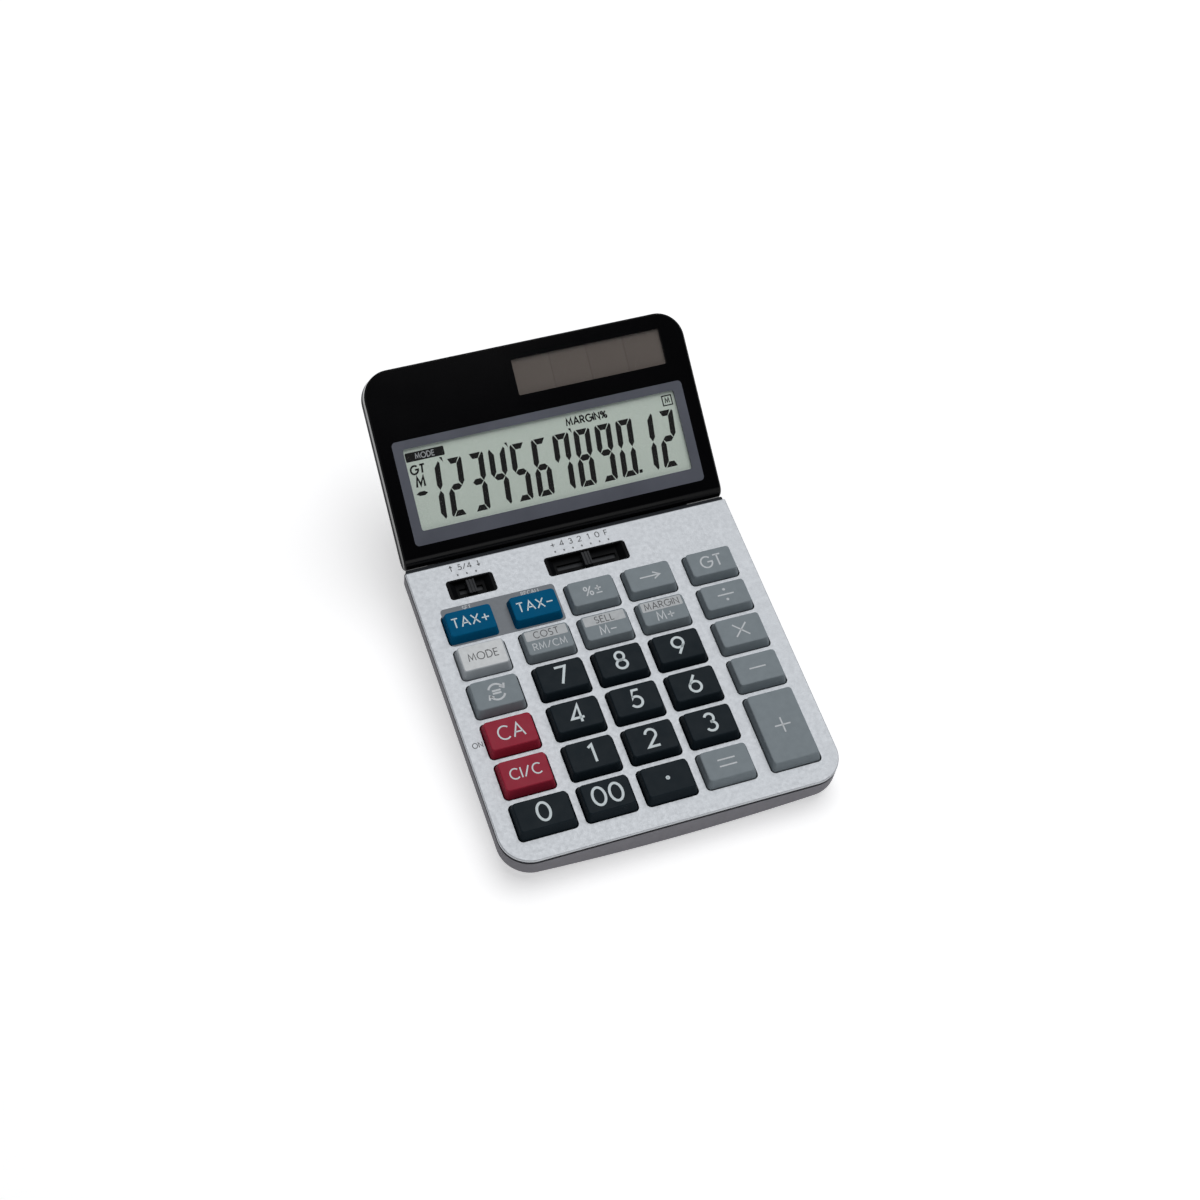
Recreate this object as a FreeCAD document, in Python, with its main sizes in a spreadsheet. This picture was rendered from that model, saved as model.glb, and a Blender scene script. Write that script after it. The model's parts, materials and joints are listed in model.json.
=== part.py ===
import FreeCAD, Part
import math
import os
import re
import Sketcher
from FreeCAD import Placement, Rotation, Vector

# Desk calculator with a tilting display head, in millimetres, +Z up.
# The origin is under the middle of the object, on the surface it stands on.
# Two working frames hang on that:
#   deck: x across, y to the rear from the front edge, z square to the face plate (top = 0);
#         it slopes up to the rear by deck_tilt
#   head: x across, y up the display face from the hinge axis, z square to the face
# Every sub-part is modelled in one of the two and then placed.

doc = FreeCAD.newDocument("DeskCalculator")

X_AXIS = Vector(1, 0, 0)
Y_AXIS = Vector(0, 1, 0)
Z_AXIS = Vector(0, 0, 1)

# ---------------------------------------------------------------- driving dimensions

DIMENSIONS = {
    # stance
    "deck_tilt": 5.0,
    "front_height": 12.2,
    "middle_shift": -82.52,
    "foot_gap": 1.0,
    # face plate, frame and lower case
    "body_width": 111.2,
    "plate_length": 108.1,
    "plate_thick": 0.8,
    "front_corner": 10.0,
    "rear_corner": 0.5,
    "case_rear_corner": 1.0,
    "case_roll": 1.0,
    "frame_inset": 0.5,
    "frame_length": 109.6,
    "frame_thick": 1.3,
    "belly_depth": 11.9,
    "belly_radius": 380.0,
    "case_wall": 1.5,
    # tail of the lower case, under the head
    "tail_half_width": 44.0,
    "tail_front": 62.0,
    "tail_nose": 84.0,
    "tail_rear": 150.0,
    "tail_top": -5.0,
    "tail_round": 2.5,
    # keys
    "key_width": 16.3,
    "key_wide": 18.4,
    "key_depth": 12.0,
    "key_depth_short": 10.9,
    "key_rise": 3.0,
    "key_side_inset": 0.6,
    "key_rear_inset": 0.6,
    "key_front_inset": 1.4,
    "key_corner": 1.2,
    "key_top_round": 0.5,
    "key_wall": 1.2,
    "key_gap": 0.45,
    "key_flange": 0.8,
    "flange_top": -2.15,
    "flange_thick": 0.7,
    "stem_radius": 2.0,
    "outer_column": 41.1,
    "inner_column": 19.6,
    "first_row": 7.26,
    "row_pitch": 14.42,
    "top_row": 78.24,
    # key mat and main board
    "board_half_width": 44.4,
    "board_front": 6.6,
    "board_rear": 104.5,
    "board_top": -4.9,
    "board_thick": 0.9,
    "mat_rear": 91.0,
    "mat_thick": 0.4,
    "dome_height": 0.4,
    "dome_radius": 3.0,
    # slide switches
    "slide_row": 97.95,
    "slide_depth": 7.4,
    "rounding_x": -36.3,
    "rounding_length": 15.8,
    "decimal_x": 3.1,
    "decimal_length": 28.0,
    "slide_pitch": 3.08,
    "knob_length": 2.6,
    # display head
    "hinge_y": 114.0,
    "hinge_z": -0.4,
    "head_tilt": 30.0,
    "head_width": 110.2,
    "head_length": 60.5,
    "head_half_thick": 4.0,
    "head_split": 0.2,
    "head_corner": 9.0,
    "head_wall": 1.5,
    "window_width": 100.4,
    "window_low": 2.6,
    "window_high": 37.1,
    "glass_width": 93.7,
    "glass_low": 7.25,
    "glass_high": 34.2,
    "solar_left": -4.95,
    "solar_right": 46.9,
    "solar_low": 43.3,
    "solar_high": 55.4,
    # hinge
    "knuckle_x": 38.0,
    "knuckle_width": 6.0,
    "knuckle_radius": 2.6,
    "knuckle_slot": 7.4,
    "pin_radius": 1.2,
    "pin_length": 18.0,
    "pin_gap": 0.02,
    # power
    "cell_radius": 5.8,
    "cell_height": 5.4,
    "cell_x": 22.0,
    "cell_y": 126.0,
}

sheet = doc.addObject("Spreadsheet::Sheet", "Sizes")
for row, (alias, value) in enumerate(DIMENSIONS.items(), start=1):
    sheet.set(f"A{row}", alias)
    sheet.set(f"B{row}", str(value))
    sheet.setAlias(f"B{row}", alias)
doc.recompute()


def size(alias):
    """The value of one driving dimension."""
    return float(sheet.get(alias))


def bound(expression):
    """An expression written with bare aliases, with the sheet's name put in."""
    return re.sub(r"[a-z_]+", lambda word: f"Sizes.{word[0]}" if word[0] in DIMENSIONS else word[0],
                  expression)


def bind(thing, prop, expression):
    thing.setExpression(prop, bound(expression))


# ---------------------------------------------------------------- helpers: Part primitives

def set_offset(thing, x="0", y="0", z="0"):
    bind(thing, "Placement.Base.x", x)
    bind(thing, "Placement.Base.y", y)
    bind(thing, "Placement.Base.z", z)


def box(name, x_span, y_span, z_span):
    """A box between two expressions on each axis."""
    thing = doc.addObject("Part::Box", name)
    for prop, (low, high) in zip(("Length", "Width", "Height"), (x_span, y_span, z_span)):
        bind(thing, prop, f"({high}) - ({low})")
    set_offset(thing, x_span[0], y_span[0], z_span[0])
    return thing


def disc(name, radius, x, y, z_span):
    """An upright cylinder between two heights."""
    thing = doc.addObject("Part::Cylinder", name)
    bind(thing, "Radius", radius)
    bind(thing, "Height", f"({z_span[1]}) - ({z_span[0]})")
    set_offset(thing, x, y, z_span[0])
    return thing


def crossbar(name, radius, x_span, y="0", z="0"):
    """A cylinder that lies along x."""
    thing = doc.addObject("Part::Cylinder", name)
    thing.Placement = Placement(Vector(), Rotation(Y_AXIS, 90))
    bind(thing, "Radius", radius)
    bind(thing, "Height", f"({x_span[1]}) - ({x_span[0]})")
    set_offset(thing, x_span[0], y, z)
    return thing


def edges_where(shape, test):
    """The numbers of the edges whose two ends and middle all pass a test."""
    found = []
    for number, edge in enumerate(shape.Edges, start=1):
        middle = edge.valueAt(0.5 * (edge.FirstParameter + edge.LastParameter))
        points = [vertex.Point for vertex in edge.Vertexes] + [middle]
        if all(test(point) for point in points):
            found.append(number)
    return found


def upright(shape, test=lambda point: True):
    """The numbers of the straight edges along z whose points pass a test."""
    found = []
    for number in edges_where(shape, test):
        edge = shape.Edges[number - 1]
        direction = edge.tangentAt(edge.FirstParameter)
        if abs(abs(direction.z) - 1) < 1e-6:
            found.append(number)
    return found


def rounded_box(name, x_span, y_span, z_span, radius):
    """A box whose four upright edges are rounded."""
    block = box(f"{name}_block", x_span, y_span, z_span)
    doc.recompute()
    thing = doc.addObject("Part::Fillet", name)
    thing.Base = block
    thing.Edges = [(number, radius, radius) for number in upright(block.Shape)]
    return thing


def fuse(name, shapes):
    thing = doc.addObject("Part::MultiFuse", name)
    thing.Shapes = shapes
    return thing


def cut(name, base, tool):
    thing = doc.addObject("Part::Cut", name)
    thing.Base = base
    thing.Tool = tool
    return thing


def carve(name, base, tools):
    """Take each tool away in turn."""
    for number, tool in enumerate(tools):
        base = cut(f"{name}_{number}", base, tool)
    return base


def together(name, pieces):
    """Separate solids that share one node."""
    thing = doc.addObject("Part::Compound", name)
    thing.Links = pieces
    return thing


# ---------------------------------------------------------------- helpers: PartDesign bodies

def origin_plane(body, role):
    return next(plane for plane in body.Origin.OriginFeatures if plane.Role == role)


def new_body(name):
    return doc.addObject("PartDesign::Body", name)


def new_sketch(body, name, role="XY_Plane", level="0"):
    sketch = body.newObject("Sketcher::SketchObject", name)
    sketch.AttachmentSupport = [(origin_plane(body, role), "")]
    sketch.MapMode = "FlatFace"
    bind(sketch, "AttachmentOffset.Base.z", level)
    return sketch


def add_polygon(sketch, points):
    """A closed outline with each corner's place bound to the sheet."""
    count = len(points)
    first = sketch.GeometryCount
    starts = [Vector(math.cos(turn), math.sin(turn), 0)
              for turn in (2 * math.pi * index / count for index in range(count))]
    lines = [Part.LineSegment(starts[index], starts[(index + 1) % count])
             for index in range(count)]
    sketch.addGeometry(lines, False)
    joins = [Sketcher.Constraint("Coincident", first + index, 2, first + (index + 1) % count, 1)
             for index in range(count)]
    sketch.addConstraint(joins)
    for index, place in enumerate(points):
        for kind, expression in zip(("DistanceX", "DistanceY"), place):
            number = sketch.addConstraint(
                Sketcher.Constraint(kind, -1, 1, first + index, 1, 1.0))
            label = f"corner_{first + index}_{kind[-1].lower()}"
            sketch.renameConstraint(number, label)
            bind(sketch, f"Constraints.{label}", expression)


def pad(body, sketch, length, midplane=False, down=False):
    feature = body.newObject("PartDesign::Pad", f"{sketch.Name}_pad")
    feature.Profile = sketch
    bind(feature, "Length", length)
    feature.Midplane = midplane
    feature.Reversed = down
    return feature


def pocket(body, sketch, length, up=False):
    feature = body.newObject("PartDesign::Pocket", f"{sketch.Name}_pocket")
    feature.Profile = sketch
    bind(feature, "Length", length)
    feature.Reversed = up
    return feature


def fillet(body, base, numbers, radius, name):
    feature = body.newObject("PartDesign::Fillet", name)
    feature.Base = (base, [f"Edge{number}" for number in numbers])
    bind(feature, "Radius", radius)
    return feature


def rectangle(x_span, y_span):
    (left, right), (front, rear) = x_span, y_span
    return [(left, front), (right, front), (right, rear), (left, rear)]


# ---------------------------------------------------------------- placements and the node list

NODES = []
deck = Placement(
    Vector(0, size("middle_shift"), size("front_height")),
    Rotation(X_AXIS, size("deck_tilt")))
head = deck.multiply(Placement(
    Vector(0, size("hinge_y"), size("hinge_z")),
    Rotation(X_AXIS, size("head_tilt"))))


def node(thing, label, frame):
    """Name a finished sub-part and note the frame it stands in.

    A plain primitive keeps its bound place, so it is wrapped before it gets a frame.
    """
    if any(path.startswith(".Placement") or path.startswith("Placement")
           for path, expression in thing.ExpressionEngine):
        thing = together(f"{label}_piece", [thing])
    doc.recompute()
    thing.Label = label
    NODES.append((thing, frame))
    return thing


# ---------------------------------------------------------------- key layout

def row_front(row):
    """The front edge of a key row, counted from the front as 1 to 5."""
    return f"first_row + {row - 1} * row_pitch"


COLUMNS = {"a": "-outer_column", "b": "-inner_column", "c": "0",
           "d": "inner_column", "e": "outer_column"}
FULL_ROWS = {
    1: {"a": "key_0", "b": "key_00", "c": "key_point", "d": "key_equals"},
    2: {"a": "key_clear", "b": "key_1", "c": "key_2", "d": "key_3"},
    3: {"a": "key_clear_all", "b": "key_4", "c": "key_5", "d": "key_6", "e": "key_minus"},
    4: {"a": "key_convert", "b": "key_7", "c": "key_8", "d": "key_9", "e": "key_multiply"},
    5: {"a": "key_mode", "b": "key_cost", "c": "key_sell", "d": "key_margin",
        "e": "key_divide"},
}
TOP_ROW = {"a": "key_tax_plus", "b": "key_tax_minus", "c": "key_percent",
           "d": "key_backspace", "e": "key_grand_total"}


def key_places():
    """Every key with the spans of its footprint, as expressions in x and y."""
    places = {}
    for row, names in FULL_ROWS.items():
        depth = "key_depth_short" if row == 5 else "key_depth"
        for column, name in names.items():
            middle = COLUMNS[column]
            left = f"{middle} - key_width / 2"
            right = f"{left} + key_wide" if name == "key_0" else f"{middle} + key_width / 2"
            front = row_front(row)
            places[name] = ((left, right), (front, f"{front} + {depth}"))
    for column, name in TOP_ROW.items():
        middle = COLUMNS[column]
        places[name] = ((f"{middle} - key_width / 2", f"{middle} + key_width / 2"),
                        ("top_row", "top_row + key_depth_short"))
    right_column = places["key_minus"][0]
    places["key_plus"] = (right_column, (row_front(1), f"{row_front(2)} + key_depth"))
    return places


KEYS = key_places()


def grown(span, margin):
    low, high = span
    return (f"{low} - ({margin})", f"{high} + ({margin})")


# ---------------------------------------------------------------- keys

def make_key(name, x_span, y_span):
    """A hollow moulded key cap with a flange under the frame and a stem over its dome."""
    body = new_body(name)
    skirt_sketch = new_sketch(body, f"{name}_skirt", level="flange_top")
    add_polygon(skirt_sketch, rectangle(x_span, y_span))
    pad(body, skirt_sketch, "-flange_top")

    cap = body.newObject("PartDesign::AdditiveWedge", f"{name}_cap")
    cap.AttachmentSupport = [(origin_plane(body, "XY_Plane"), "")]
    cap.MapMode = "FlatFace"
    cap.AttachmentOffset = Placement(Vector(), Rotation(X_AXIS, 90))
    bind(cap, "AttachmentOffset.Base.y", y_span[1])
    (left, right), (front, rear) = x_span, y_span
    bind(cap, "Xmin", left)
    bind(cap, "Xmax", right)
    bind(cap, "X2min", f"{left} + key_side_inset")
    bind(cap, "X2max", f"{right} - key_side_inset")
    bind(cap, "Ymin", "0")
    bind(cap, "Ymax", "key_rise")
    bind(cap, "Zmin", "0")
    bind(cap, "Zmax", f"({rear}) - ({front})")
    bind(cap, "Z2min", "key_rear_inset")
    bind(cap, "Z2max", f"({rear}) - ({front}) - key_front_inset")
    doc.recompute()

    rise = size("key_rise")
    corners = [number for number, edge in enumerate(cap.Shape.Edges, start=1)
               if edge.BoundBox.ZLength > 1]
    sides = fillet(body, cap, corners, "key_corner", f"{name}_sides")
    doc.recompute()
    rim = edges_where(sides.Shape, lambda p: abs(p.z - rise) < 1e-6)
    rounded = fillet(body, sides, rim, "key_top_round", f"{name}_rim")

    hollow = new_sketch(body, f"{name}_hollow", level="flange_top")
    add_polygon(hollow, rectangle(grown(x_span, "-key_wall"), grown(y_span, "-key_wall")))
    pocket(body, hollow, "key_rise - flange_top - key_front_inset", up=True)

    flange = new_sketch(body, f"{name}_flange", level="flange_top")
    add_polygon(flange, rectangle(grown(x_span, "key_flange"), grown(y_span, "key_flange")))
    add_polygon(flange, rectangle(grown(x_span, "-key_wall"), grown(y_span, "-key_wall")))
    pad(body, flange, "flange_thick", down=True)

    stem = body.newObject("PartDesign::AdditiveCylinder", f"{name}_stem")
    stem.AttachmentSupport = [(origin_plane(body, "XY_Plane"), "")]
    stem.MapMode = "FlatFace"
    bind(stem, "Radius", "stem_radius")
    bind(stem, "Height", "key_rise - key_front_inset - flange_top + flange_thick + 0.2")
    bind(stem, "AttachmentOffset.Base.x", f"({left} + {right}) / 2")
    bind(stem, "AttachmentOffset.Base.y", f"({front} + {rear}) / 2")
    bind(stem, "AttachmentOffset.Base.z", "flange_top - flange_thick")
    return body


for key_name, (key_x, key_y) in KEYS.items():
    node(make_key(key_name, key_x, key_y), key_name, deck)

# ---------------------------------------------------------------- face plate and frame

SLIDES = {"rounding": ("rounding_x", "rounding_length"), "decimal": ("decimal_x", "decimal_length")}


def slide_window(name, margin="0"):
    middle, length = SLIDES[name]
    return (grown((middle, middle), f"{length} / 2 + {margin}"),
            grown(("slide_row", "slide_row"), f"slide_depth / 2 + {margin}"))


def make_openings():
    """Cutters for the key openings and the two slide windows."""
    through = ("-6", "1")
    cutters = []
    for name, (x_span, y_span) in KEYS.items():
        opening = rounded_box(
            f"{name}_opening", grown(x_span, "key_gap"), grown(y_span, "key_gap"), through,
            size("key_corner") + size("key_gap"))
        cutters.append(opening)
    for name in SLIDES:
        x_span, y_span = slide_window(name)
        cutters.append(rounded_box(f"{name}_window", x_span, y_span, through, size("key_corner")))
    return fuse("openings", cutters)


openings = make_openings()


def make_sheet(name, inset, length, z_span):
    """A flat panel with large front corners and small rear ones."""
    body = new_body(name)
    sketch = new_sketch(body, f"{name}_outline", level=z_span[0])
    half = f"body_width / 2 - {inset}"
    add_polygon(sketch, rectangle((f"-({half})", half), (inset, length)))
    panel = pad(body, sketch, f"({z_span[1]}) - ({z_span[0]})")
    doc.recompute()
    middle = size(length) / 2
    front = fillet(body, panel, upright(panel.Shape, lambda p: p.y < middle),
                   f"front_corner - {inset}", f"{name}_front_corners")
    doc.recompute()
    fillet(body, front, upright(front.Shape, lambda p: p.y > middle), "rear_corner",
           f"{name}_rear_corners")
    doc.recompute()
    return body


def make_face_plate():
    body = make_sheet("plate_blank", "0", "plate_length", ("-plate_thick", "0"))
    rim = edges_where(body.Shape, lambda p: abs(p.z) < 1e-6)
    fillet(body, body.Tip, rim, "plate_thick / 2", "plate_rim")
    return cut("face_plate_cut", body, openings)


node(make_face_plate(), "face_plate", deck)

CASE_SCREWS = [("-38", "3.9"), ("38", "3.9"), ("-47", "103.5"), ("47", "103.5")]
BOARD_SCREWS = [("-30.35", "34.9"), ("30.35", "34.9"), ("-30.35", "84.2"), ("30.35", "84.2")]
BOSS_RADIUS = "2.2"
POST_RADIUS = "1.5"
BOSS_MEETING = "-4"
FRAME_BOTTOM = "-plate_thick - frame_thick"


def make_top_frame():
    """The frame that carries the face plate, with its bosses and the posts for the board."""
    body = make_sheet("frame_blank", "frame_inset", "frame_length",
                      (FRAME_BOTTOM, "-plate_thick"))
    opened = cut("frame_opened", body, openings)
    bosses = [disc(f"frame_boss_{index}", BOSS_RADIUS, x, y, (BOSS_MEETING, FRAME_BOTTOM))
              for index, (x, y) in enumerate(CASE_SCREWS)]
    posts = [disc(f"frame_post_{index}", POST_RADIUS, x, y, ("board_top", FRAME_BOTTOM))
             for index, (x, y) in enumerate(BOARD_SCREWS)]
    solid = fuse("frame_solid", [opened] + bosses + posts)
    holes = [disc(f"frame_hole_{index}", "0.8", x, y, ("-6", "-1.2"))
             for index, (x, y) in enumerate(CASE_SCREWS)]
    holes += [disc(f"post_hole_{index}", "0.7", x, y, ("-6", "-1.2"))
              for index, (x, y) in enumerate(BOARD_SCREWS)]
    return cut("top_frame_cut", solid, fuse("frame_holes", holes))


node(make_top_frame(), "top_frame", deck)

# ---------------------------------------------------------------- lower case

SCREW_SINK = "-7.7"
TAIL_FLOOR = "(foot_gap - front_height) / cos(deck_tilt)"
FRONT_FEET = [("-34", "13"), ("34", "13")]
REAR_FEET = [("-37", "138"), ("37", "138")]
FOOT_RADIUS = "4"
FOOT_RECESS = "0.6"


def stand(thing, x, y, height):
    """Turn a tool upright on the ground: y is measured on the ground from the front edge."""
    thing.Placement = Placement(Vector(), Rotation(X_AXIS, -size("deck_tilt")))
    lift = f"({height} - front_height)"
    set_offset(thing, x, f"({y}) * cos(deck_tilt) + {lift} * sin(deck_tilt)",
               f"{lift} * cos(deck_tilt) - ({y}) * sin(deck_tilt)")
    return thing


def standing_disc(name, radius, x, y, z_span):
    return stand(disc(name, radius, "0", "0", z_span), x, y, z_span[0])


def standing_box(name, x_span, y_span, z_span):
    return stand(box(name, x_span, y_span, z_span), x_span[0], y_span[0], z_span[0])


def tail_floor(y, rise="0"):
    """The height, in the deck frame, of the flat underside that lies level on its feet."""
    return f"{TAIL_FLOOR} - ({y}) * tan(deck_tilt) + {rise}"


def make_belly(name, inset, floor_rise, y_span, top):
    """A block whose underside is a shallow arc across its width."""
    half = f"body_width / 2 - {inset}"
    block = rounded_block(name, (f"-({half})", half), y_span, ("-belly_depth - 1", top), inset)
    drum = doc.addObject("Part::Cylinder", f"{name}_drum")
    drum.Placement = Placement(Vector(), Rotation(X_AXIS, -90))
    bind(drum, "Radius", f"belly_radius - {floor_rise}")
    bind(drum, "Height", "frame_length + 20")
    set_offset(drum, "0", "-10", "belly_radius - belly_depth")
    common = doc.addObject("Part::Common", f"{name}_common")
    common.Base = block
    common.Tool = drum
    return common


def rounded_block(name, x_span, y_span, z_span, inset):
    block = box(f"{name}_block", x_span, y_span, z_span)
    doc.recompute()
    shape = block.Shape
    middle = shape.BoundBox.Center.y
    front = size("front_corner") - (size(inset) if inset in DIMENSIONS else float(inset))
    rear = size("case_rear_corner")
    thing = doc.addObject("Part::Fillet", f"{name}_rounded")
    thing.Base = block
    thing.Edges = [(number, front, front) for number in upright(shape, lambda p: p.y < middle)]
    thing.Edges += [(number, rear, rear) for number in upright(shape, lambda p: p.y > middle)]
    return thing


def make_tail(name, half_width, points):
    """A block across the case with a side profile given as y and z."""
    body = new_body(name)
    sketch = new_sketch(body, f"{name}_profile", role="YZ_Plane")
    add_polygon(sketch, points)
    pad(body, sketch, f"2 * ({half_width})", midplane=True)
    return body


def make_lower_case():
    shell = make_belly("case_outer", "0", "0", ("0", "frame_length"), FRAME_BOTTOM)
    doc.recompute()
    low_edges = edges_where(shell.Shape, lambda p: p.z < size("case_wall") - 6.5)
    rolled = doc.addObject("Part::Fillet", "case_rolled")
    rolled.Base = shell
    roll = size("case_roll")
    rolled.Edges = [(number, roll, roll) for number in low_edges]

    tail_outer = make_tail("tail_outer", "tail_half_width", [
        ("tail_front", "-belly_depth + 1.5"),
        ("tail_nose", tail_floor("tail_nose")),
        ("tail_rear", tail_floor("tail_rear")),
        ("tail_rear", "tail_top"),
        ("frame_length - case_wall", "tail_top"),
        ("tail_front", "-belly_depth + 2.5")])
    doc.recompute()
    tail_rounded = doc.addObject("Part::Fillet", "tail_rounded")
    tail_rounded.Base = tail_outer
    rear = size("tail_rear")
    ends = edges_where(tail_outer.Shape, lambda p: p.y > rear - 1e-6)
    tail_round = size("tail_round")
    tail_rounded.Edges = [(number, tail_round, tail_round) for number in ends]

    arms = []
    for side, sign in (("left", "-"), ("right", "")):
        middle = f"{sign}knuckle_x"
        span = grown((middle, middle), "knuckle_width / 2")
        eye = crossbar(f"eye_{side}", "knuckle_radius", span, "hinge_y", "hinge_z")
        arm = box(f"arm_{side}", span,
                  ("hinge_y - 1.4", "hinge_y + 1.4"), ("tail_top - 1", "hinge_z"))
        arms += [eye, arm]

    bosses = [disc(f"case_boss_{index}", BOSS_RADIUS, x, y, ("-8.7", BOSS_MEETING))
              for index, (x, y) in enumerate(CASE_SCREWS)]
    foot_bosses = [standing_disc(f"foot_boss_{index}", "5", x, y, ("foot_gap", "4.2"))
                   for index, (x, y) in enumerate(FRONT_FEET)]

    hollow = make_belly("case_inner", "case_wall", "case_wall",
                        ("case_wall", "frame_length - case_wall"), "0")
    tail_hollow = make_tail("tail_inner", "tail_half_width - case_wall", [
        ("tail_front + 6", "-belly_depth + 2"),
        ("tail_nose + 1", tail_floor("tail_nose", "case_wall")),
        ("tail_rear - case_wall", tail_floor("tail_rear - case_wall", "case_wall")),
        ("tail_rear - case_wall", "tail_top - case_wall"),
        ("frame_length - 2 * case_wall", "tail_top - case_wall")])
    outside = fuse("case_outside", [rolled, tail_rounded] + arms)
    hollowed = carve("case_hollowed", outside, [hollow, tail_hollow])

    walls = make_battery_walls()
    solid = fuse("case_solid", [hollowed] + bosses + foot_bosses + walls)
    bores = [crossbar(f"eye_bore_{side}", "pin_radius + pin_gap",
                      grown((f"{sign}knuckle_x",) * 2, "knuckle_width"), "hinge_y", "hinge_z")
             for side, sign in (("left", "-"), ("right", ""))]
    bores += [disc(f"case_hole_{index}", "0.9", x, y, ("-14", "-3.5"))
              for index, (x, y) in enumerate(CASE_SCREWS)]
    bores += [disc(f"case_sink_{index}", "1.9", x, y, ("-14", SCREW_SINK))
              for index, (x, y) in enumerate(CASE_SCREWS)]
    bores += [standing_disc(f"foot_recess_{index}", FOOT_RADIUS, x, y,
                            ("0", f"foot_gap + {FOOT_RECESS}"))
              for index, (x, y) in enumerate(FRONT_FEET + REAR_FEET)]
    bores += make_battery_openings()
    bores += make_ribbon_slot()
    return carve("lower_case_cut", solid, bores)


# power compartment in the tail, in ground heights above the foot gap
DOOR_X = grown(("cell_x", "cell_x"), "9")
DOOR_Y = ("cell_y - 10", "cell_y + 20")
DOOR_SCREW = ("cell_x", "cell_y + 14")
DOOR_TOP = "foot_gap + case_wall"
CELL_BOTTOM = f"{DOOR_TOP} + 0.1"
CELL_TOP = f"{CELL_BOTTOM} + cell_height"
WELL_TOP = f"{CELL_TOP} + 1.5"


def make_battery_walls():
    """A ledge over the door that carries the coin cell's well and the door screw's boss."""
    ledge = standing_box("cell_ledge", grown(DOOR_X, "1.5"), ("cell_y - 7.7", "cell_y + 21.5"),
                         (f"{DOOR_TOP} - 0.5", f"{DOOR_TOP} + 1.2"))
    well = standing_disc("cell_well", "cell_radius + 1.8", "cell_x", "cell_y",
                         (DOOR_TOP, WELL_TOP))
    boss = standing_disc("door_boss", "2.4", *DOOR_SCREW, (DOOR_TOP, WELL_TOP))
    return [ledge, well, boss]


def make_battery_openings():
    """The door's opening, the bore for the cell and the hole for the door's screw."""
    opening = standing_box("door_opening", DOOR_X, DOOR_Y, ("0", f"{DOOR_TOP} + 0.2"))
    bore = standing_disc("cell_bore", "cell_radius + 0.6", "cell_x", "cell_y",
                         ("0", f"{CELL_TOP} + 0.4"))
    hole = standing_disc("door_screw_bore", "0.8", *DOOR_SCREW, ("0", "foot_gap + 7"))
    return [opening, bore, hole]


RIBBON_X = ("-6", "6")


def make_ribbon_slot():
    """The slot in the rear wall that lets the ribbon cable through to the hinge."""
    return [box("ribbon_slot", grown(RIBBON_X, "0.6"), ("frame_length - 2", "frame_length + 1"),
                ("-4.7", "-3.4"))]


node(make_lower_case(), "lower_case", deck)
floor = Placement(Vector(0, size("middle_shift"), 0), Rotation())

feet = [disc(f"foot_{index}", f"{FOOT_RADIUS} - 0.02", x, y, ("0", f"foot_gap + {FOOT_RECESS}"))
        for index, (x, y) in enumerate(FRONT_FEET + REAR_FEET)]
node(together("feet_set", feet), "rubber_feet", floor)

# ---------------------------------------------------------------- power


def make_screw(name, x, y, head_span, head_radius, shank_end, shank_radius):
    """A pan head screw with a cross slot in the head, which faces down."""
    screw_head = disc(f"{name}_head", head_radius, x, y, head_span)
    shank = disc(f"{name}_shank", shank_radius, x, y, (head_span[1], shank_end))
    whole = fuse(f"{name}_whole", [screw_head, shank])
    reach = "0.7 * " + head_radius
    drive_z = (f"{head_span[0]} - 0.1", f"{head_span[0]} + 0.5")
    arms = [box(f"{name}_slot_x", grown((x, x), reach), grown((y, y), "0.2"), drive_z),
            box(f"{name}_slot_y", grown((x, x), "0.2"), grown((y, y), reach), drive_z)]
    return cut(name, whole, fuse(f"{name}_drive", arms))


def make_battery_door():
    """A flush door with a tongue at its front end and a sunk screw hole at the rear."""
    gap = "-0.15"
    panel = box("door_panel", grown(DOOR_X, gap), grown(DOOR_Y, gap), ("foot_gap", DOOR_TOP))
    tongue_x = grown(("cell_x", "cell_x"), "4")
    tongue_top = f"{DOOR_TOP} + 1"
    tongue = box("door_tongue", tongue_x, ("cell_y - 11.4", "cell_y - 8"),
                 (f"{DOOR_TOP} + 0.2", tongue_top))
    riser = box("door_riser", tongue_x, ("cell_y - 9.8", "cell_y - 8"), ("foot_gap + 1", tongue_top))
    whole = fuse("door_whole", [panel, riser, tongue])
    hole = disc("door_hole", "1", *DOOR_SCREW, ("0", "foot_gap + 4"))
    sink = disc("door_sink", "2", *DOOR_SCREW, ("0", "foot_gap + 0.8"))
    grips = [box(f"door_grip_{index}", grown(("cell_x", "cell_x"), "3"),
                 (f"cell_y - 6 + {1.6 * index}", f"cell_y - 5.2 + {1.6 * index}"),
                 ("foot_gap - 0.1", "foot_gap + 0.3")) for index in range(3)]
    return cut("door_cut", whole, fuse("door_cuts", [hole, sink] + grips))


node(make_battery_door(), "battery_door", floor)
node(make_screw("door_screw", *DOOR_SCREW, ("foot_gap + 0.1", "foot_gap + 0.8"), "1.8",
                "foot_gap + 6.5", "0.75"), "battery_door_screw", floor)


def make_cell():
    body = disc("cell_can", "cell_radius", "cell_x", "cell_y", (f"{CELL_BOTTOM} + 0.3", CELL_TOP))
    cap = disc("cell_cap", "cell_radius - 1.2", "cell_x", "cell_y",
               (CELL_BOTTOM, f"{CELL_BOTTOM} + 0.3"))
    return fuse("cell_whole", [body, cap])


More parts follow.
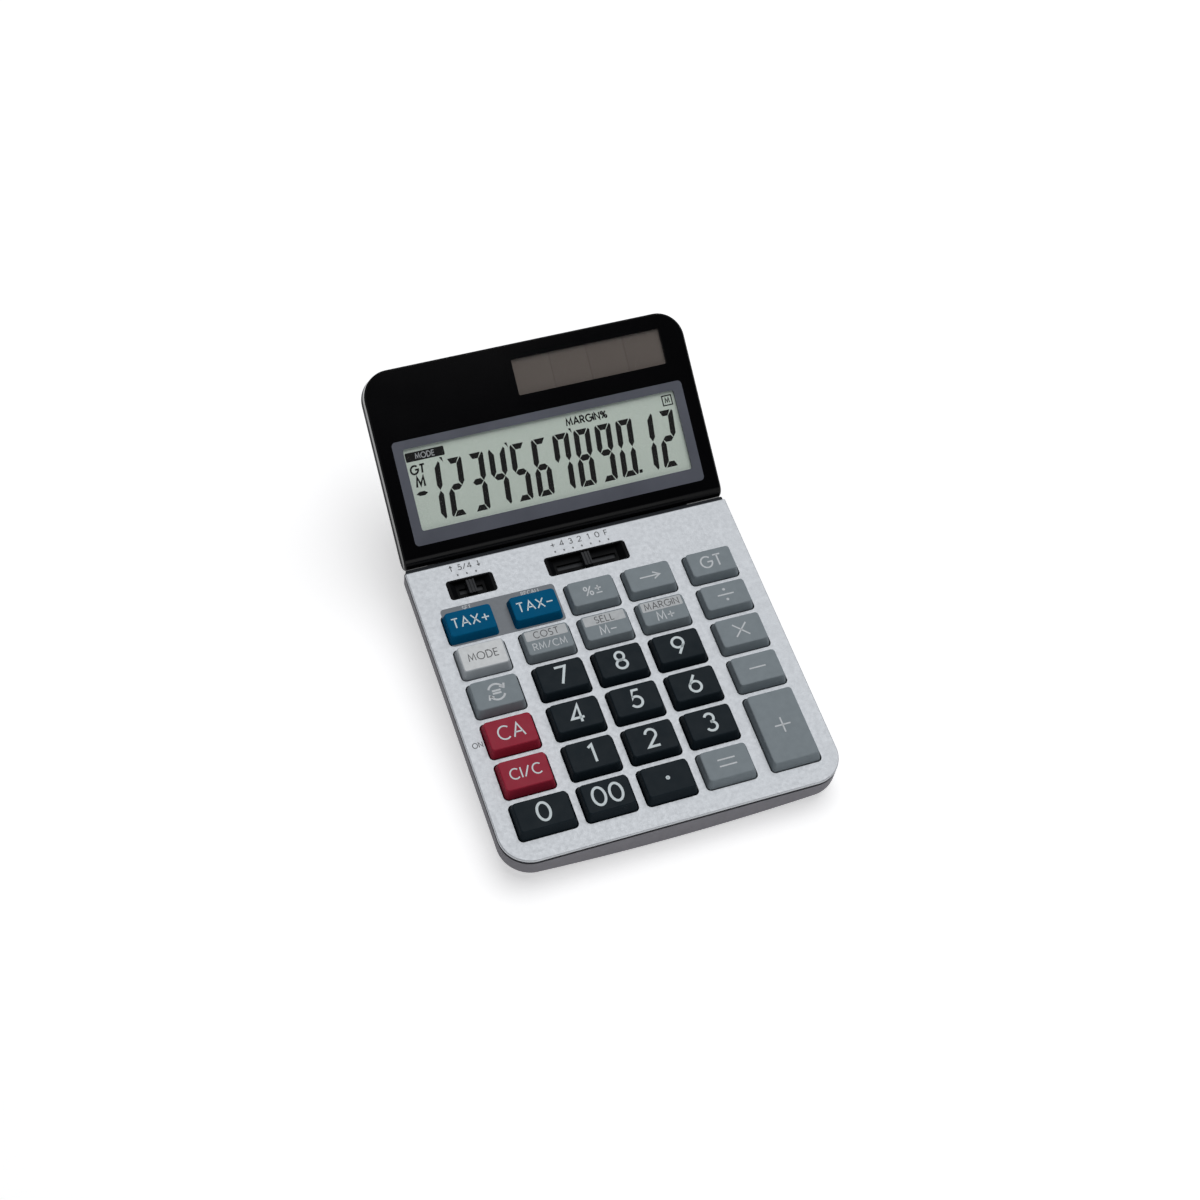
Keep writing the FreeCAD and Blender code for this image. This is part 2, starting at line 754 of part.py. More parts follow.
node(make_cell(), "coin_cell", floor)
top_contact = disc("top_contact", "cell_radius - 1", "cell_x", "cell_y",
                   (CELL_TOP, f"{CELL_TOP} + 0.3"))
side_contact = box("side_contact", ("cell_x + cell_radius + 0.05", "cell_x + cell_radius + 0.35"),
                   grown(("cell_y", "cell_y"), "1.5"), (f"{DOOR_TOP} + 0.6", f"{CELL_TOP} - 0.4"))
node(together("contact_set", [top_contact, side_contact]), "battery_contacts", floor)

# ---------------------------------------------------------------- inside the deck


def make_case_screws():
    screws = [make_screw(f"case_screw_{index}", x, y, (f"{SCREW_SINK} - 0.9", SCREW_SINK),
                         "1.7", "-1.6", "0.75")
              for index, (x, y) in enumerate(CASE_SCREWS)]
    return together("case_screw_set", screws)


def make_board_screws():
    head_top = "board_top - board_thick"
    screws = [make_screw(f"board_screw_{index}", x, y, (f"{head_top} - 0.7", head_top),
                         "1.4", "-1.6", "0.65")
              for index, (x, y) in enumerate(BOARD_SCREWS)]
    return together("board_screw_set", screws)


def make_main_board():
    board = box("board_blank", grown(("0", "0"), "board_half_width"),
                ("board_front", "board_rear"), ("board_top - board_thick", "board_top"))
    holes = [disc(f"board_hole_{index}", "0.75", x, y, ("-7", "-4"))
             for index, (x, y) in enumerate(BOARD_SCREWS)]
    return cut("main_board_cut", board, fuse("board_holes", holes))


def make_key_mat():
    """A sheet with one low dome under each key stem and holes for the frame's posts."""
    top = "board_top + mat_thick"
    mat = box("mat_sheet", grown(("0", "0"), "board_half_width"), ("board_front", "mat_rear"),
              ("board_top", top))
    domes = []
    for name, ((left, right), (front, rear)) in KEYS.items():
        dome = doc.addObject("Part::Cone", f"{name}_dome")
        bind(dome, "Radius1", "dome_radius")
        bind(dome, "Radius2", "stem_radius")
        bind(dome, "Height", "dome_height")
        set_offset(dome, f"({left} + {right}) / 2", f"({front} + {rear}) / 2", top)
        domes.append(dome)
    holes = [disc(f"mat_hole_{index}", f"{POST_RADIUS} + 0.2", x, y, ("-6", "-3"))
             for index, (x, y) in enumerate(BOARD_SCREWS)]
    return cut("key_mat_cut", fuse("mat_whole", [mat] + domes), fuse("mat_holes", holes))


node(make_case_screws(), "case_screws", deck)
node(make_board_screws(), "board_screws", deck)
node(make_main_board(), "main_board", deck)
node(make_key_mat(), "rubber_key_mat", deck)

UNDER_BOARD = "board_top - board_thick"
node(box("chip_block", ("-6", "6"), ("60", "72"), (f"{UNDER_BOARD} - 1", UNDER_BOARD)),
     "controller_chip", deck)


def make_strip(name, points):
    """A thin ribbon across the middle with a side profile given as y and z."""
    body = new_body(name)
    sketch = new_sketch(body, f"{name}_profile", role="YZ_Plane")
    add_polygon(sketch, points)
    pad(body, sketch, "12", midplane=True)
    return body


node(make_strip("base_ribbon_strip", [
    ("99", "board_top"), ("105.2", "board_top"), ("107.4", "-4.1"), ("109.9", "-4.1"),
    ("109.9", "-3.9"), ("107.3", "-3.9"), ("105.1", "board_top + 0.2"),
    ("99", "board_top + 0.2")]), "base_ribbon", deck)

# ---------------------------------------------------------------- slide switches

TRAY_TOP = "-0.15"
TRAY_RIM = "0.6"
TRAY_FLOOR = "-2.2"
TRAY_BOTTOM = "-3"
KNOB_TOP = "0.35"
KNOB_DEPTH = "5"
STEM_DEPTH = "1.6"
SLIDE_STEPS = {"rounding": 1, "decimal": 3}


def make_tray(name):
    """A sunk tray with sloped ends and a slot in its floor for the slider's stem."""
    x_span, y_span = slide_window(name, "-0.1")
    body = rounded_box(f"{name}_tray_body", x_span, y_span, (TRAY_BOTTOM, TRAY_TOP),
                       size("key_corner") - 0.1)
    rim = box(f"{name}_tray_rim", grown(x_span, TRAY_RIM), grown(y_span, TRAY_RIM),
              (TRAY_BOTTOM, f"{FRAME_BOTTOM} - 0.02"))
    steps = SLIDE_STEPS[name]
    middle = SLIDES[name][0]
    travel = f"{steps} * slide_pitch"
    well = doc.addObject("Part::Wedge", f"{name}_well")
    well.Placement = Placement(Vector(), Rotation(X_AXIS, 90))
    half_floor = f"{travel} + knob_length / 2 + 0.4"
    half_mouth = f"{SLIDES[name][1]} / 2 - 0.9"
    bind(well, "Xmin", f"-({half_floor})")
    bind(well, "Xmax", half_floor)
    bind(well, "X2min", f"-({half_mouth})")
    bind(well, "X2max", half_mouth)
    bind(well, "Ymin", "0")
    bind(well, "Ymax", f"0.1 - ({TRAY_FLOOR})")
    for low, high in (("Zmin", "Zmax"), ("Z2min", "Z2max")):
        bind(well, low, "0")
        bind(well, high, "slide_depth - 1")
    set_offset(well, middle, "slide_row + slide_depth / 2 - 0.5", TRAY_FLOOR)
    slot = box(f"{name}_slot", grown((middle, middle), f"{travel} + 0.9"),
               grown(("slide_row", "slide_row"), f"{STEM_DEPTH} / 2 + 0.2"), ("-4", "-2"))
    return cut(f"{name}_tray_cut", fuse(f"{name}_tray_whole", [body, rim]),
               fuse(f"{name}_tray_cuts", [well, slot]))


def make_slider(name):
    """A ribbed knob on a stem, with a skirt under the tray that keeps the slot covered."""
    middle = SLIDES[name][0]
    across = grown(("slide_row", "slide_row"), f"{KNOB_DEPTH} / 2")
    knob = box(f"{name}_knob", grown((middle, middle), "knob_length / 2"), across,
               (f"{TRAY_FLOOR} + 0.1", KNOB_TOP))
    grooves = [box(f"{name}_groove_{side}", grown((f"{middle} + {offset}",) * 2, "0.22"),
                   grown(across, "1"), (f"{KNOB_TOP} - 0.35", f"{KNOB_TOP} + 1"))
               for side, offset in (("left", -0.55), ("right", 0.55))]
    stem = box(f"{name}_stem", grown((middle, middle), "0.8"),
               grown(("slide_row", "slide_row"), f"{STEM_DEPTH} / 2"),
               (f"{TRAY_BOTTOM} - 0.1", f"{TRAY_FLOOR} + 0.2"))
    reach = f"{2 * SLIDE_STEPS[name]} * slide_pitch + 1"
    skirt = box(f"{name}_skirt", grown((middle, middle), reach),
                grown(("slide_row", "slide_row"), "1.8"),
                (f"{TRAY_BOTTOM} - 0.7", f"{TRAY_BOTTOM} - 0.1"))
    return cut(f"{name}_slider_cut", fuse(f"{name}_slider_whole", [knob, stem, skirt]),
               fuse(f"{name}_grooves", grooves))


for slide_name in SLIDES:
    node(make_tray(slide_name), f"{slide_name}_tray", deck)
    node(make_slider(slide_name), f"{slide_name}_slider", deck)

# ---------------------------------------------------------------- display head

HEAD_X = ("-head_width / 2", "head_width / 2")
HEAD_FRONT = ("head_split", "head_half_thick")
HEAD_BACK = ("-head_half_thick", "head_split")
SOLID_TO = "6"
RIM_CHAMFER = 0.5
HEAD_SCREWS = [("-51.2", "9.5"), ("51.2", "9.5"), ("-49.8", "48"), ("49.8", "48")]
WINDOW_X = ("-window_width / 2", "window_width / 2")
WINDOW_Y = ("window_low", "window_high")
GLASS_X = ("-glass_width / 2", "glass_width / 2")
GLASS_Y = ("glass_low", "glass_high")
SOLAR_X = ("solar_left", "solar_right")
SOLAR_Y = ("solar_low", "solar_high")


def far_rounded(name, block, radius):
    """Round the two upright edges at the far end of a block."""
    doc.recompute()
    shape = block.Shape
    middle = shape.BoundBox.Center.y
    thing = doc.addObject("Part::Fillet", name)
    thing.Base = block
    thing.Edges = [(number, radius, radius) for number in upright(shape, lambda p: p.y > middle)]
    return thing


def make_cover(name, z_span, face):
    """One half of the head: a shallow dish whose lower end is half of the hinge barrel."""
    block = far_rounded(f"{name}_body", box(f"{name}_block", HEAD_X, ("0", "head_length"), z_span),
                        size("head_corner"))
    barrel = doc.addObject("Part::Common", f"{name}_barrel")
    barrel.Base = crossbar(f"{name}_bar", "head_half_thick", HEAD_X)
    barrel.Tool = box(f"{name}_half", HEAD_X, ("-head_half_thick", "1"), z_span)
    whole = fuse(f"{name}_whole", [block, barrel])
    whole.Refine = True
    doc.recompute()
    level = size("head_half_thick") * face
    rim = [number for number, edge in enumerate(whole.Shape.Edges, start=1)
           if on_rim(edge, level)]
    chamfered = doc.addObject("Part::Chamfer", f"{name}_chamfered")
    chamfered.Base = whole
    chamfered.Edges = [(number, RIM_CHAMFER, RIM_CHAMFER) for number in rim]
    return chamfered


def on_rim(edge, level):
    """Whether an edge runs round the outside of the cover's face, or round the barrel's end."""
    ends = [vertex.Point for vertex in edge.Vertexes]
    if all(abs(point.z - level) < 1e-4 for point in ends):
        return edge.BoundBox.YLength > 0.5 or ends[0].y > size("head_length") - 1e-3
    is_arc = edge.BoundBox.XLength < 1e-4 and edge.BoundBox.ZLength > 1
    return is_arc and min(point.y for point in ends) < -1


def make_cavity(name, z_span):
    block = box(f"{name}_block", grown(HEAD_X, "-head_wall"),
                (SOLID_TO, "head_length - head_wall"), z_span)
    return far_rounded(name, block, size("head_corner") - size("head_wall"))


def make_hinge_cuts(name):
    """Room in the barrel for the two knuckles, their arms, the pins and the ribbon."""
    cuts = []
    for side, sign in (("left", "-"), ("right", "")):
        middle = f"{sign}knuckle_x"
        slot = grown((middle, middle), "knuckle_slot / 2")
        cuts.append(crossbar(f"{name}_eye_{side}", "knuckle_radius + 0.3", slot))
        cuts.append(box(f"{name}_slot_{side}", slot, ("-4.5", "1.9"), ("-4.5", "-0.4")))
        cuts.append(crossbar(f"{name}_pin_{side}", "pin_radius + pin_gap",
                             grown((middle, middle), "pin_length / 2 + 0.2")))
    channel = grown(RIBBON_X, "1")
    cuts.append(box(f"{name}_ribbon_mouth", channel, ("-4.5", "1.9"), ("-4.5", "-0.4")))
    cuts.append(box(f"{name}_ribbon_way", channel, ("-1", f"{SOLID_TO} + 1"), ("-1", "0.1")))
    return cuts


def make_front_cover():
    """The glossy face with its openings for the display and the solar cell."""
    cover = make_cover("front_cover", HEAD_FRONT, 1)
    cavity = make_cavity("front_cavity", ("-1", "head_half_thick - head_wall"))
    dish = cut("front_dish", cover, cavity)
    bosses = [disc(f"front_boss_{index}", "1.8", x, y, ("head_split", "3"))
              for index, (x, y) in enumerate(HEAD_SCREWS)]
    through = ("-1", "5")
    cuts = make_hinge_cuts("front")
    cuts.append(rounded_box("display_opening", WINDOW_X, WINDOW_Y, through, 1.5))
    cuts.append(rounded_box("solar_opening", SOLAR_X, SOLAR_Y, through, 0.5))
    cuts += [disc(f"front_screw_hole_{index}", "0.7", x, y, ("-1", "2.8"))
             for index, (x, y) in enumerate(HEAD_SCREWS)]
    return carve("front_cover_cut", fuse("front_solid", [dish] + bosses), cuts)


def make_back_cover():
    cover = make_cover("back_cover", HEAD_BACK, -1)
    cavity = make_cavity("back_cavity", ("head_wall - head_half_thick", "1"))
    dish = cut("back_dish", cover, cavity)
    bosses = [disc(f"back_boss_{index}", "1.8", x, y, ("-3", "head_split"))
              for index, (x, y) in enumerate(HEAD_SCREWS)]
    cuts = make_hinge_cuts("back")
    cuts += [disc(f"back_screw_hole_{index}", "0.8", x, y, ("-5", "1"))
             for index, (x, y) in enumerate(HEAD_SCREWS)]
    cuts += [disc(f"back_screw_sink_{index}", "1.6", x, y, ("-5", "-2.8"))
             for index, (x, y) in enumerate(HEAD_SCREWS)]
    return carve("back_cover_cut", fuse("back_solid", [dish] + bosses), cuts)


node(make_front_cover(), "head_front_cover", head)
node(make_back_cover(), "head_back_cover", head)
node(together("head_screw_set", [
    make_screw(f"head_screw_{index}", x, y, ("-3.7", "-2.8"), "1.5", "2.4", "0.65")
    for index, (x, y) in enumerate(HEAD_SCREWS)]), "head_screws", head)

LAYER = {"board": ("0.3", "1.1"), "rubber": ("1.1", "1.9"), "display": ("1.9", "2.95"),
         "lens": ("3.4", "3.8"), "surround": ("3", "3.95"), "solar": ("2.3", "3"),
         "solar_lens": ("3.1", "3.95")}


def make_surround():
    """The frame round the display, flush with the face."""
    outer = rounded_box("surround_outer", grown(WINDOW_X, "-0.1"), grown(WINDOW_Y, "-0.1"),
                        LAYER["surround"], 1.4)
    inner = rounded_box("surround_inner", GLASS_X, GLASS_Y, ("2", "5"), 0.8)
    return cut("surround_cut", outer, inner)


node(make_surround(), "display_surround", head)
node(rounded_box("lens_plate", grown(GLASS_X, "-0.1"), grown(GLASS_Y, "-0.1"), LAYER["lens"],
                 0.7), "display_lens", head)
node(box("display_glass", grown(GLASS_X, "1.5"), grown(GLASS_Y, "2"), LAYER["display"]),
     "lcd_glass", head)
node(box("zebra_rubber", grown(GLASS_X, "-2"), ("glass_high + 0.3", "glass_high + 1.8"),
         LAYER["rubber"]), "contact_strip", head)
node(box("head_board_blank", grown(GLASS_X, "1"), ("glass_low", "glass_high + 5"),
         LAYER["board"]), "head_board", head)
node(rounded_box("solar_plate", grown(SOLAR_X, "-0.1"), grown(SOLAR_Y, "-0.1"), LAYER["solar"],
                 0.45), "solar_cell", head)
node(rounded_box("solar_cover", grown(SOLAR_X, "-0.05"), grown(SOLAR_Y, "-0.05"),
                 LAYER["solar_lens"], 0.45), "solar_window", head)
node(make_strip("head_ribbon_strip", [
    ("0", "-0.7"), ("5.9", "-0.7"), ("7.6", "0.1"), ("12", "0.1"), ("12", "0.3"),
    ("7.5", "0.3"), ("5.8", "-0.5"), ("0", "-0.5")]), "head_ribbon", head)

# ---------------------------------------------------------------- hinge

pins = [crossbar(f"pin_{index}", "pin_radius", grown((middle, middle), "pin_length / 2"))
        for index, middle in enumerate(("-knuckle_x", "knuckle_x"))]
node(together("pin_set", pins), "hinge_pins", head)


def make_washers():
    """Thin sprung discs on both sides of each knuckle, which give the hinge its friction."""
    rings = []
    for sign in ("-", ""):
        for offset in ("- knuckle_width / 2 - 0.6", "+ knuckle_width / 2 + 0.1"):
            start = f"{sign}knuckle_x {offset}"
            span = (start, f"{start} + 0.5")
            number = len(rings)
            disc_body = crossbar(f"washer_{number}", "knuckle_radius - 0.1", span)
            bore = crossbar(f"washer_bore_{number}", "pin_radius + pin_gap", grown(span, "1"))
            rings.append(cut(f"washer_ring_{number}", disc_body, bore))
    return together("washer_set", rings)


node(make_washers(), "hinge_washers", head)

# ---------------------------------------------------------------- check and write

doc.recompute()
failed = [thing.Name for thing in doc.Objects
          if "Invalid" in thing.State or "Error" in thing.State]
if failed:
    raise RuntimeError(f"these objects failed: {failed}")

os.makedirs("parts", exist_ok=True)
for thing, frame in NODES:
    if thing.Shape.isNull() or not thing.Shape.isValid():
        raise RuntimeError(f"{thing.Label} has no valid shape")
    thing.Placement = frame.multiply(thing.Placement)
doc.recompute()

everything = Part.makeCompound([thing.Shape for thing, frame in NODES])
for thing, frame in NODES:
    if not thing.Shape.isValid():
        raise RuntimeError(f"{thing.Label} is not valid where it stands")
    thing.Shape.exportStep(f"parts/{thing.Label}.step")
    print(f"{thing.Label}: {len(thing.Shape.Solids)} solid(s), {thing.Shape.Volume:.1f} mm3")
print(f"{len(NODES)} nodes, box {everything.BoundBox}")
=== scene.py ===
import json
import math
import bmesh
import bpy
from mathutils import Matrix, Vector


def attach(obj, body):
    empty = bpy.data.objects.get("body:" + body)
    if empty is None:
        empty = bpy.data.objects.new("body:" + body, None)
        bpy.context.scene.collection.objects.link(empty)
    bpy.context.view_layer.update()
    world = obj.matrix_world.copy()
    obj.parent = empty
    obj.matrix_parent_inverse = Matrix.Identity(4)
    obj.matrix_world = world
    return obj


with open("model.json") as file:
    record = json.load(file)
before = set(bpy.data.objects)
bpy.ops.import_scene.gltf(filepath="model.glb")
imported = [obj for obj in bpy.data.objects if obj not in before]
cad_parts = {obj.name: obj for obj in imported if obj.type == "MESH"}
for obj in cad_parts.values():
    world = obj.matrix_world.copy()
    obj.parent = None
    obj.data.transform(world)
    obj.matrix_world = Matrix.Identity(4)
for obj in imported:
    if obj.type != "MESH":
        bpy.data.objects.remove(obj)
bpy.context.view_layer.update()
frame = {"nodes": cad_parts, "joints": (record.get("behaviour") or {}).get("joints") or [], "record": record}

MM = 0.001

# ---------------------------------------------------------------- the two working frames
# deck: x across, y to the rear from the front edge of the face plate, z square to it (top = 0)
# head: x across, y up the display face from the hinge axis, z square to the face

HINGE_Y = 114.0 * MM
HINGE_Z = -0.4 * MM
HEAD_TILT = math.radians(30)

JOINTS = {joint["name"]: joint for joint in frame["joints"]}


def make_deck_matrix():
    """The deck frame, from the way that the keys move and the place of the hinge."""
    up = Vector(JOINTS["press_key_5"]["axis"]).normalized()
    across = Vector((1, 0, 0))
    rear = up.cross(across)
    origin = Vector(JOINTS["head_tilt"]["pos_m"]) - rear * HINGE_Y - up * HINGE_Z
    turn = Matrix((across, rear, up)).transposed().to_4x4()
    return Matrix.Translation(origin) @ turn


DECK = make_deck_matrix()
HEAD = DECK @ Matrix.Translation((0, HINGE_Y, HINGE_Z)) @ Matrix.Rotation(HEAD_TILT, 4, "X")


def span(node, matrix):
    """The lowest and highest corners of a CAD node, measured along a frame's own axes."""
    back = matrix.inverted()
    places = [back @ vertex.co for vertex in frame["nodes"][node].data.vertices]
    low = Vector([min(place[axis] for place in places) for axis in range(3)])
    high = Vector([max(place[axis] for place in places) for axis in range(3)])
    return low, high


# ---------------------------------------------------------------- materials

def srgb(red, green, blue):
    """A colour given on the usual 0 to 255 screen scale, as a linear colour."""
    def linear(value):
        value /= 255
        return value / 12.92 if value <= 0.04045 else ((value + 0.055) / 1.055) ** 2.4
    return linear(red), linear(green), linear(blue), 1.0


def shade(colour, factor):
    """A linear colour made lighter or darker by a factor."""
    return tuple(min(1.0, part * factor) for part in colour[:3]) + (1.0,)


# the part of a noise texture's range that is spread over a material's own range
NOISE_LOW = 0.3
NOISE_HIGH = 0.7


class Finish:
    """A node material built round one Principled shader."""

    def __init__(self, name, colour, **sockets):
        self.material = bpy.data.materials.new(name)
        self.material.use_nodes = True
        self.nodes = self.material.node_tree.nodes
        self.links = self.material.node_tree.links
        self.shader = self.nodes["Principled BSDF"]
        self.shader.inputs["Base Color"].default_value = colour
        for socket, value in sockets.items():
            self.shader.inputs[socket.replace("_", " ")].default_value = value
        self.place = self.nodes.new("ShaderNodeTexCoord").outputs["Object"]

    def noise(self, scale, detail=3.0, stretch=(1, 1, 1)):
        mapping = self.nodes.new("ShaderNodeMapping")
        mapping.inputs["Scale"].default_value = stretch
        noise = self.nodes.new("ShaderNodeTexNoise")
        noise.inputs["Scale"].default_value = scale
        noise.inputs["Detail"].default_value = detail
        self.links.new(self.place, mapping.inputs["Vector"])
        self.links.new(mapping.outputs["Vector"], noise.inputs["Vector"])
        return noise.outputs["Fac"]

    def ramp(self, value, stops):
        """A colour ramp over a value; stops are pairs of position and colour."""
        ramp = self.nodes.new("ShaderNodeValToRGB")
        elements = ramp.color_ramp.elements
        while len(elements) < len(stops):
            elements.new(0.5)
        for element, (position, colour) in zip(elements, stops):
            element.position = position
            element.color = colour
        self.links.new(value, ramp.inputs["Fac"])
        return ramp.outputs["Color"]

    def vary_colour(self, scale, low, high, detail=3.0):
        colour = self.ramp(self.noise(scale, detail), [(NOISE_LOW, low), (NOISE_HIGH, high)])
        self.links.new(colour, self.shader.inputs["Base Color"])

    def vary_roughness(self, scale, low, high, detail=3.0, stretch=(1, 1, 1)):
        spread = self.nodes.new("ShaderNodeMapRange")
        spread.inputs["From Min"].default_value = NOISE_LOW
        spread.inputs["From Max"].default_value = NOISE_HIGH
        spread.inputs["To Min"].default_value = low
        spread.inputs["To Max"].default_value = high
        self.links.new(self.noise(scale, detail, stretch), spread.inputs["Value"])
        self.links.new(spread.outputs["Result"], self.shader.inputs["Roughness"])

    def grain(self, scale, strength, depth, detail=2.0, stretch=(1, 1, 1)):
        """Fine bumps, depth metres high."""
        bump = self.nodes.new("ShaderNodeBump")
        bump.inputs["Strength"].default_value = strength
        bump.inputs["Distance"].default_value = depth
        self.links.new(self.noise(scale, detail, stretch), bump.inputs["Height"])
        self.links.new(bump.outputs["Normal"], self.shader.inputs["Normal"])


def moulded(name, colour, roughness=0.5, grain=0.25, ior=1.27):
    """Fine spark-textured moulded plastic."""
    finish = Finish(name, colour, Roughness=roughness, IOR=ior)
    finish.vary_colour(420, shade(colour, 0.96), shade(colour, 1.04))
    finish.vary_roughness(260, roughness - 0.06, roughness + 0.06)
    finish.grain(5200, grain, 0.02 * MM)
    return finish.material


def gloss(name, colour, roughness, ior=1.45):
    """Polished plastic with the faintest unevenness and wiping haze."""
    finish = Finish(name, colour, Roughness=roughness, IOR=ior)
    finish.vary_colour(60, shade(colour, 0.9), shade(colour, 1.1))
    finish.vary_roughness(45, roughness, roughness + 0.05, detail=5)
    finish.grain(70, 0.05, 0.03 * MM)
    return finish.material


def blasted_aluminium(name, colour):
    """Bead-blasted sheet under a clear satin coat."""
    finish = Finish(name, colour, Metallic=0.35, Roughness=0.42)
    finish.vary_colour(2400, shade(colour, 0.93), shade(colour, 1.05), detail=4)
    finish.vary_roughness(800, 0.36, 0.5)
    finish.grain(3000, 0.3, 0.02 * MM, detail=3)
    return finish.material


def steel(name, colour, roughness=0.3):
    """Bare or plated metal with drawn lines along its length."""
    finish = Finish(name, colour, Metallic=1.0, Roughness=roughness)
    finish.vary_colour(500, shade(colour, 0.85), shade(colour, 1.1))
    finish.vary_roughness(900, roughness - 0.08, roughness + 0.1, stretch=(1, 6, 1))
    finish.grain(1500, 0.1, 0.01 * MM, stretch=(1, 8, 1))
    return finish.material


def rubber(name, colour):
    """Dull, finely pitted rubber."""
    finish = Finish(name, colour, Roughness=0.75, IOR=1.5)
    finish.vary_colour(150, shade(colour, 0.85), shade(colour, 1.2))
    finish.vary_roughness(300, 0.65, 0.85)
    finish.grain(1800, 0.35, 0.04 * MM)
    return finish.material


def printed(name, colour, roughness=0.45, ior=1.5):
    """Screen-printed or moulded-in lettering."""
    finish = Finish(name, colour, Roughness=roughness, IOR=ior)
    finish.vary_colour(700, shade(colour, 0.93), shade(colour, 1.04))
    finish.grain(4000, 0.15, 0.01 * MM)
    return finish.material


def liquid_crystal(name, colour):
    """The reflective panel: pale grey-green with a fine diffuse sparkle."""
    finish = Finish(name, colour, Roughness=0.38, IOR=1.5)
    finish.vary_colour(1500, shade(colour, 0.95), shade(colour, 1.04), detail=5)
    finish.vary_roughness(500, 0.32, 0.46)
    finish.grain(4000, 0.12, 0.01 * MM)
    return finish.material


def clear_window(name):
    """A clear polished window, nearly invisible but for its reflections."""
    finish = Finish(name, (0.12, 0.12, 0.12, 1), Roughness=0.03, Alpha=0.08)
    finish.vary_roughness(60, 0.02, 0.05, detail=5)
    finish.grain(50, 0.03, 0.01 * MM)
    return finish.material


SOLAR_STRIPS = 4


def solar_film(name, base):
    """Brown amorphous silicon in strips, with thin dark lines between them."""
    finish = Finish(name, base, Roughness=0.35)
    low, high = span("solar_cell", HEAD)
    separate = finish.nodes.new("ShaderNodeSeparateXYZ")
    finish.links.new(finish.place, separate.inputs["Vector"])
    scale = finish.nodes.new("ShaderNodeMapRange")
    scale.clamp = False
    scale.inputs["From Min"].default_value = low.x
    scale.inputs["From Max"].default_value = high.x
    scale.inputs["To Max"].default_value = SOLAR_STRIPS
    finish.links.new(separate.outputs["X"], scale.inputs["Value"])
    part = finish.nodes.new("ShaderNodeMath")
    part.operation = "FRACT"
    finish.links.new(scale.outputs["Result"], part.inputs[0])
    colour = finish.ramp(part.outputs["Value"], [
        (0.0, shade(base, 0.8)), (0.014, shade(base, 0.8)), (0.03, shade(base, 0.98)),
        (0.5, base), (0.97, shade(base, 1.03)), (1.0, shade(base, 0.85))])
    finish.links.new(colour, finish.shader.inputs["Base Color"])
    finish.vary_roughness(2500, 0.33, 0.37)
    return finish.material


def circuit_board(name, base, track):
    """Solder mask over copper tracks, which show through it lighter."""
    finish = Finish(name, base, Roughness=0.3)
    brick = finish.nodes.new("ShaderNodeTexBrick")
    brick.inputs["Scale"].default_value = 160
    brick.inputs["Mortar Size"].default_value = 0.08
    brick.inputs["Color1"].default_value = base
    brick.inputs["Color2"].default_value = shade(base, 1.25)
    brick.inputs["Mortar"].default_value = track
    finish.links.new(finish.place, brick.inputs["Vector"])
    finish.links.new(brick.outputs["Color"], finish.shader.inputs["Base Color"])
    finish.vary_roughness(200, 0.24, 0.4)
    finish.grain(900, 0.1, 0.01 * MM)
    return finish.material


# one finish for each material slot of the record
MATERIALS = {
    "key_black": moulded("black key plastic", srgb(21, 32, 39), ior=1.2),
    "key_grey": moulded("grey key plastic", srgb(137, 147, 153)),
    "key_red": moulded("red key plastic", srgb(160, 34, 58)),
    "key_blue": moulded("blue key plastic", srgb(0, 92, 134), ior=1.1),
    "key_light": moulded("pale key plastic", srgb(186, 192, 197)),
    "plate_aluminium": blasted_aluminium("blasted aluminium", srgb(193, 197, 202)),
    "case_grey": moulded("case plastic", srgb(122, 121, 126), 0.55, 0.4, ior=1.12),
    "door_grey": moulded("door plastic", srgb(116, 115, 120), 0.55, 0.4, ior=1.12),
    "frame_black": moulded("frame plastic", srgb(44, 47, 51), 0.5, ior=1.15),
    "foot_rubber": rubber("foot rubber", (0.02, 0.02, 0.021, 1)),
    "screw_steel": steel("zinc plated steel", (0.45, 0.45, 0.47, 1)),
    "pin_steel": steel("ground steel", (0.5, 0.5, 0.52, 1), 0.22),
    "cell_steel": steel("cell can", (0.62, 0.62, 0.62, 1), 0.2),
    "contact_metal": steel("nickel strip", (0.6, 0.56, 0.46, 1), 0.28),
    "board_green": circuit_board("solder mask", (0.02, 0.13, 0.06, 1), (0.05, 0.24, 0.1, 1)),
    "mat_rubber": rubber("silicone mat", (0.32, 0.32, 0.34, 1)),
    "chip_black": moulded("epoxy", (0.012, 0.012, 0.013, 1), 0.6),
    "ribbon_amber": gloss("polyimide film", (0.4, 0.19, 0.04, 1), 0.25),
    "tray_black": moulded("tray plastic", srgb(13, 14, 16), 0.45, ior=1.12),
    "knob_black": moulded("knob plastic", srgb(38, 40, 44), 0.45),
    "head_gloss_black": gloss("gloss black", (0.0015, 0.0015, 0.002, 1), 0.15, ior=1.2),
    "head_satin_black": moulded("satin black", srgb(34, 35, 38), 0.42, ior=1.05),
    "surround_grey": gloss("printed surround", srgb(99, 102, 112), 0.16),
    "lens_clear": clear_window("clear window"),
    "lcd_green_grey": liquid_crystal("liquid crystal", srgb(238, 253, 240)),
    "solar_brown": solar_film("solar film", srgb(111, 101, 94)),
}

SLOTS = {part["node"]: part["material_slot"] for part in frame["record"]["subparts"]}
for cad_node, slot_name in SLOTS.items():
    places = frame["nodes"][cad_node].data.materials
    places.clear()
    places.append(MATERIALS[slot_name])

INK_WHITE = printed("white ink", srgb(218, 229, 233))
INK_PALE = printed("pale ink", srgb(205, 210, 214))
INK_PAPER = printed("white panel ink", srgb(224, 227, 229))
INK_GREY = printed("grey ink", srgb(112, 118, 125))
INK_DARK = printed("dark ink", srgb(78, 80, 84))
INK_PANEL = printed("pale panel ink", srgb(190, 194, 197))
SEGMENT_INK = printed("display segments", srgb(10, 11, 10), 0.5, ior=1.15)

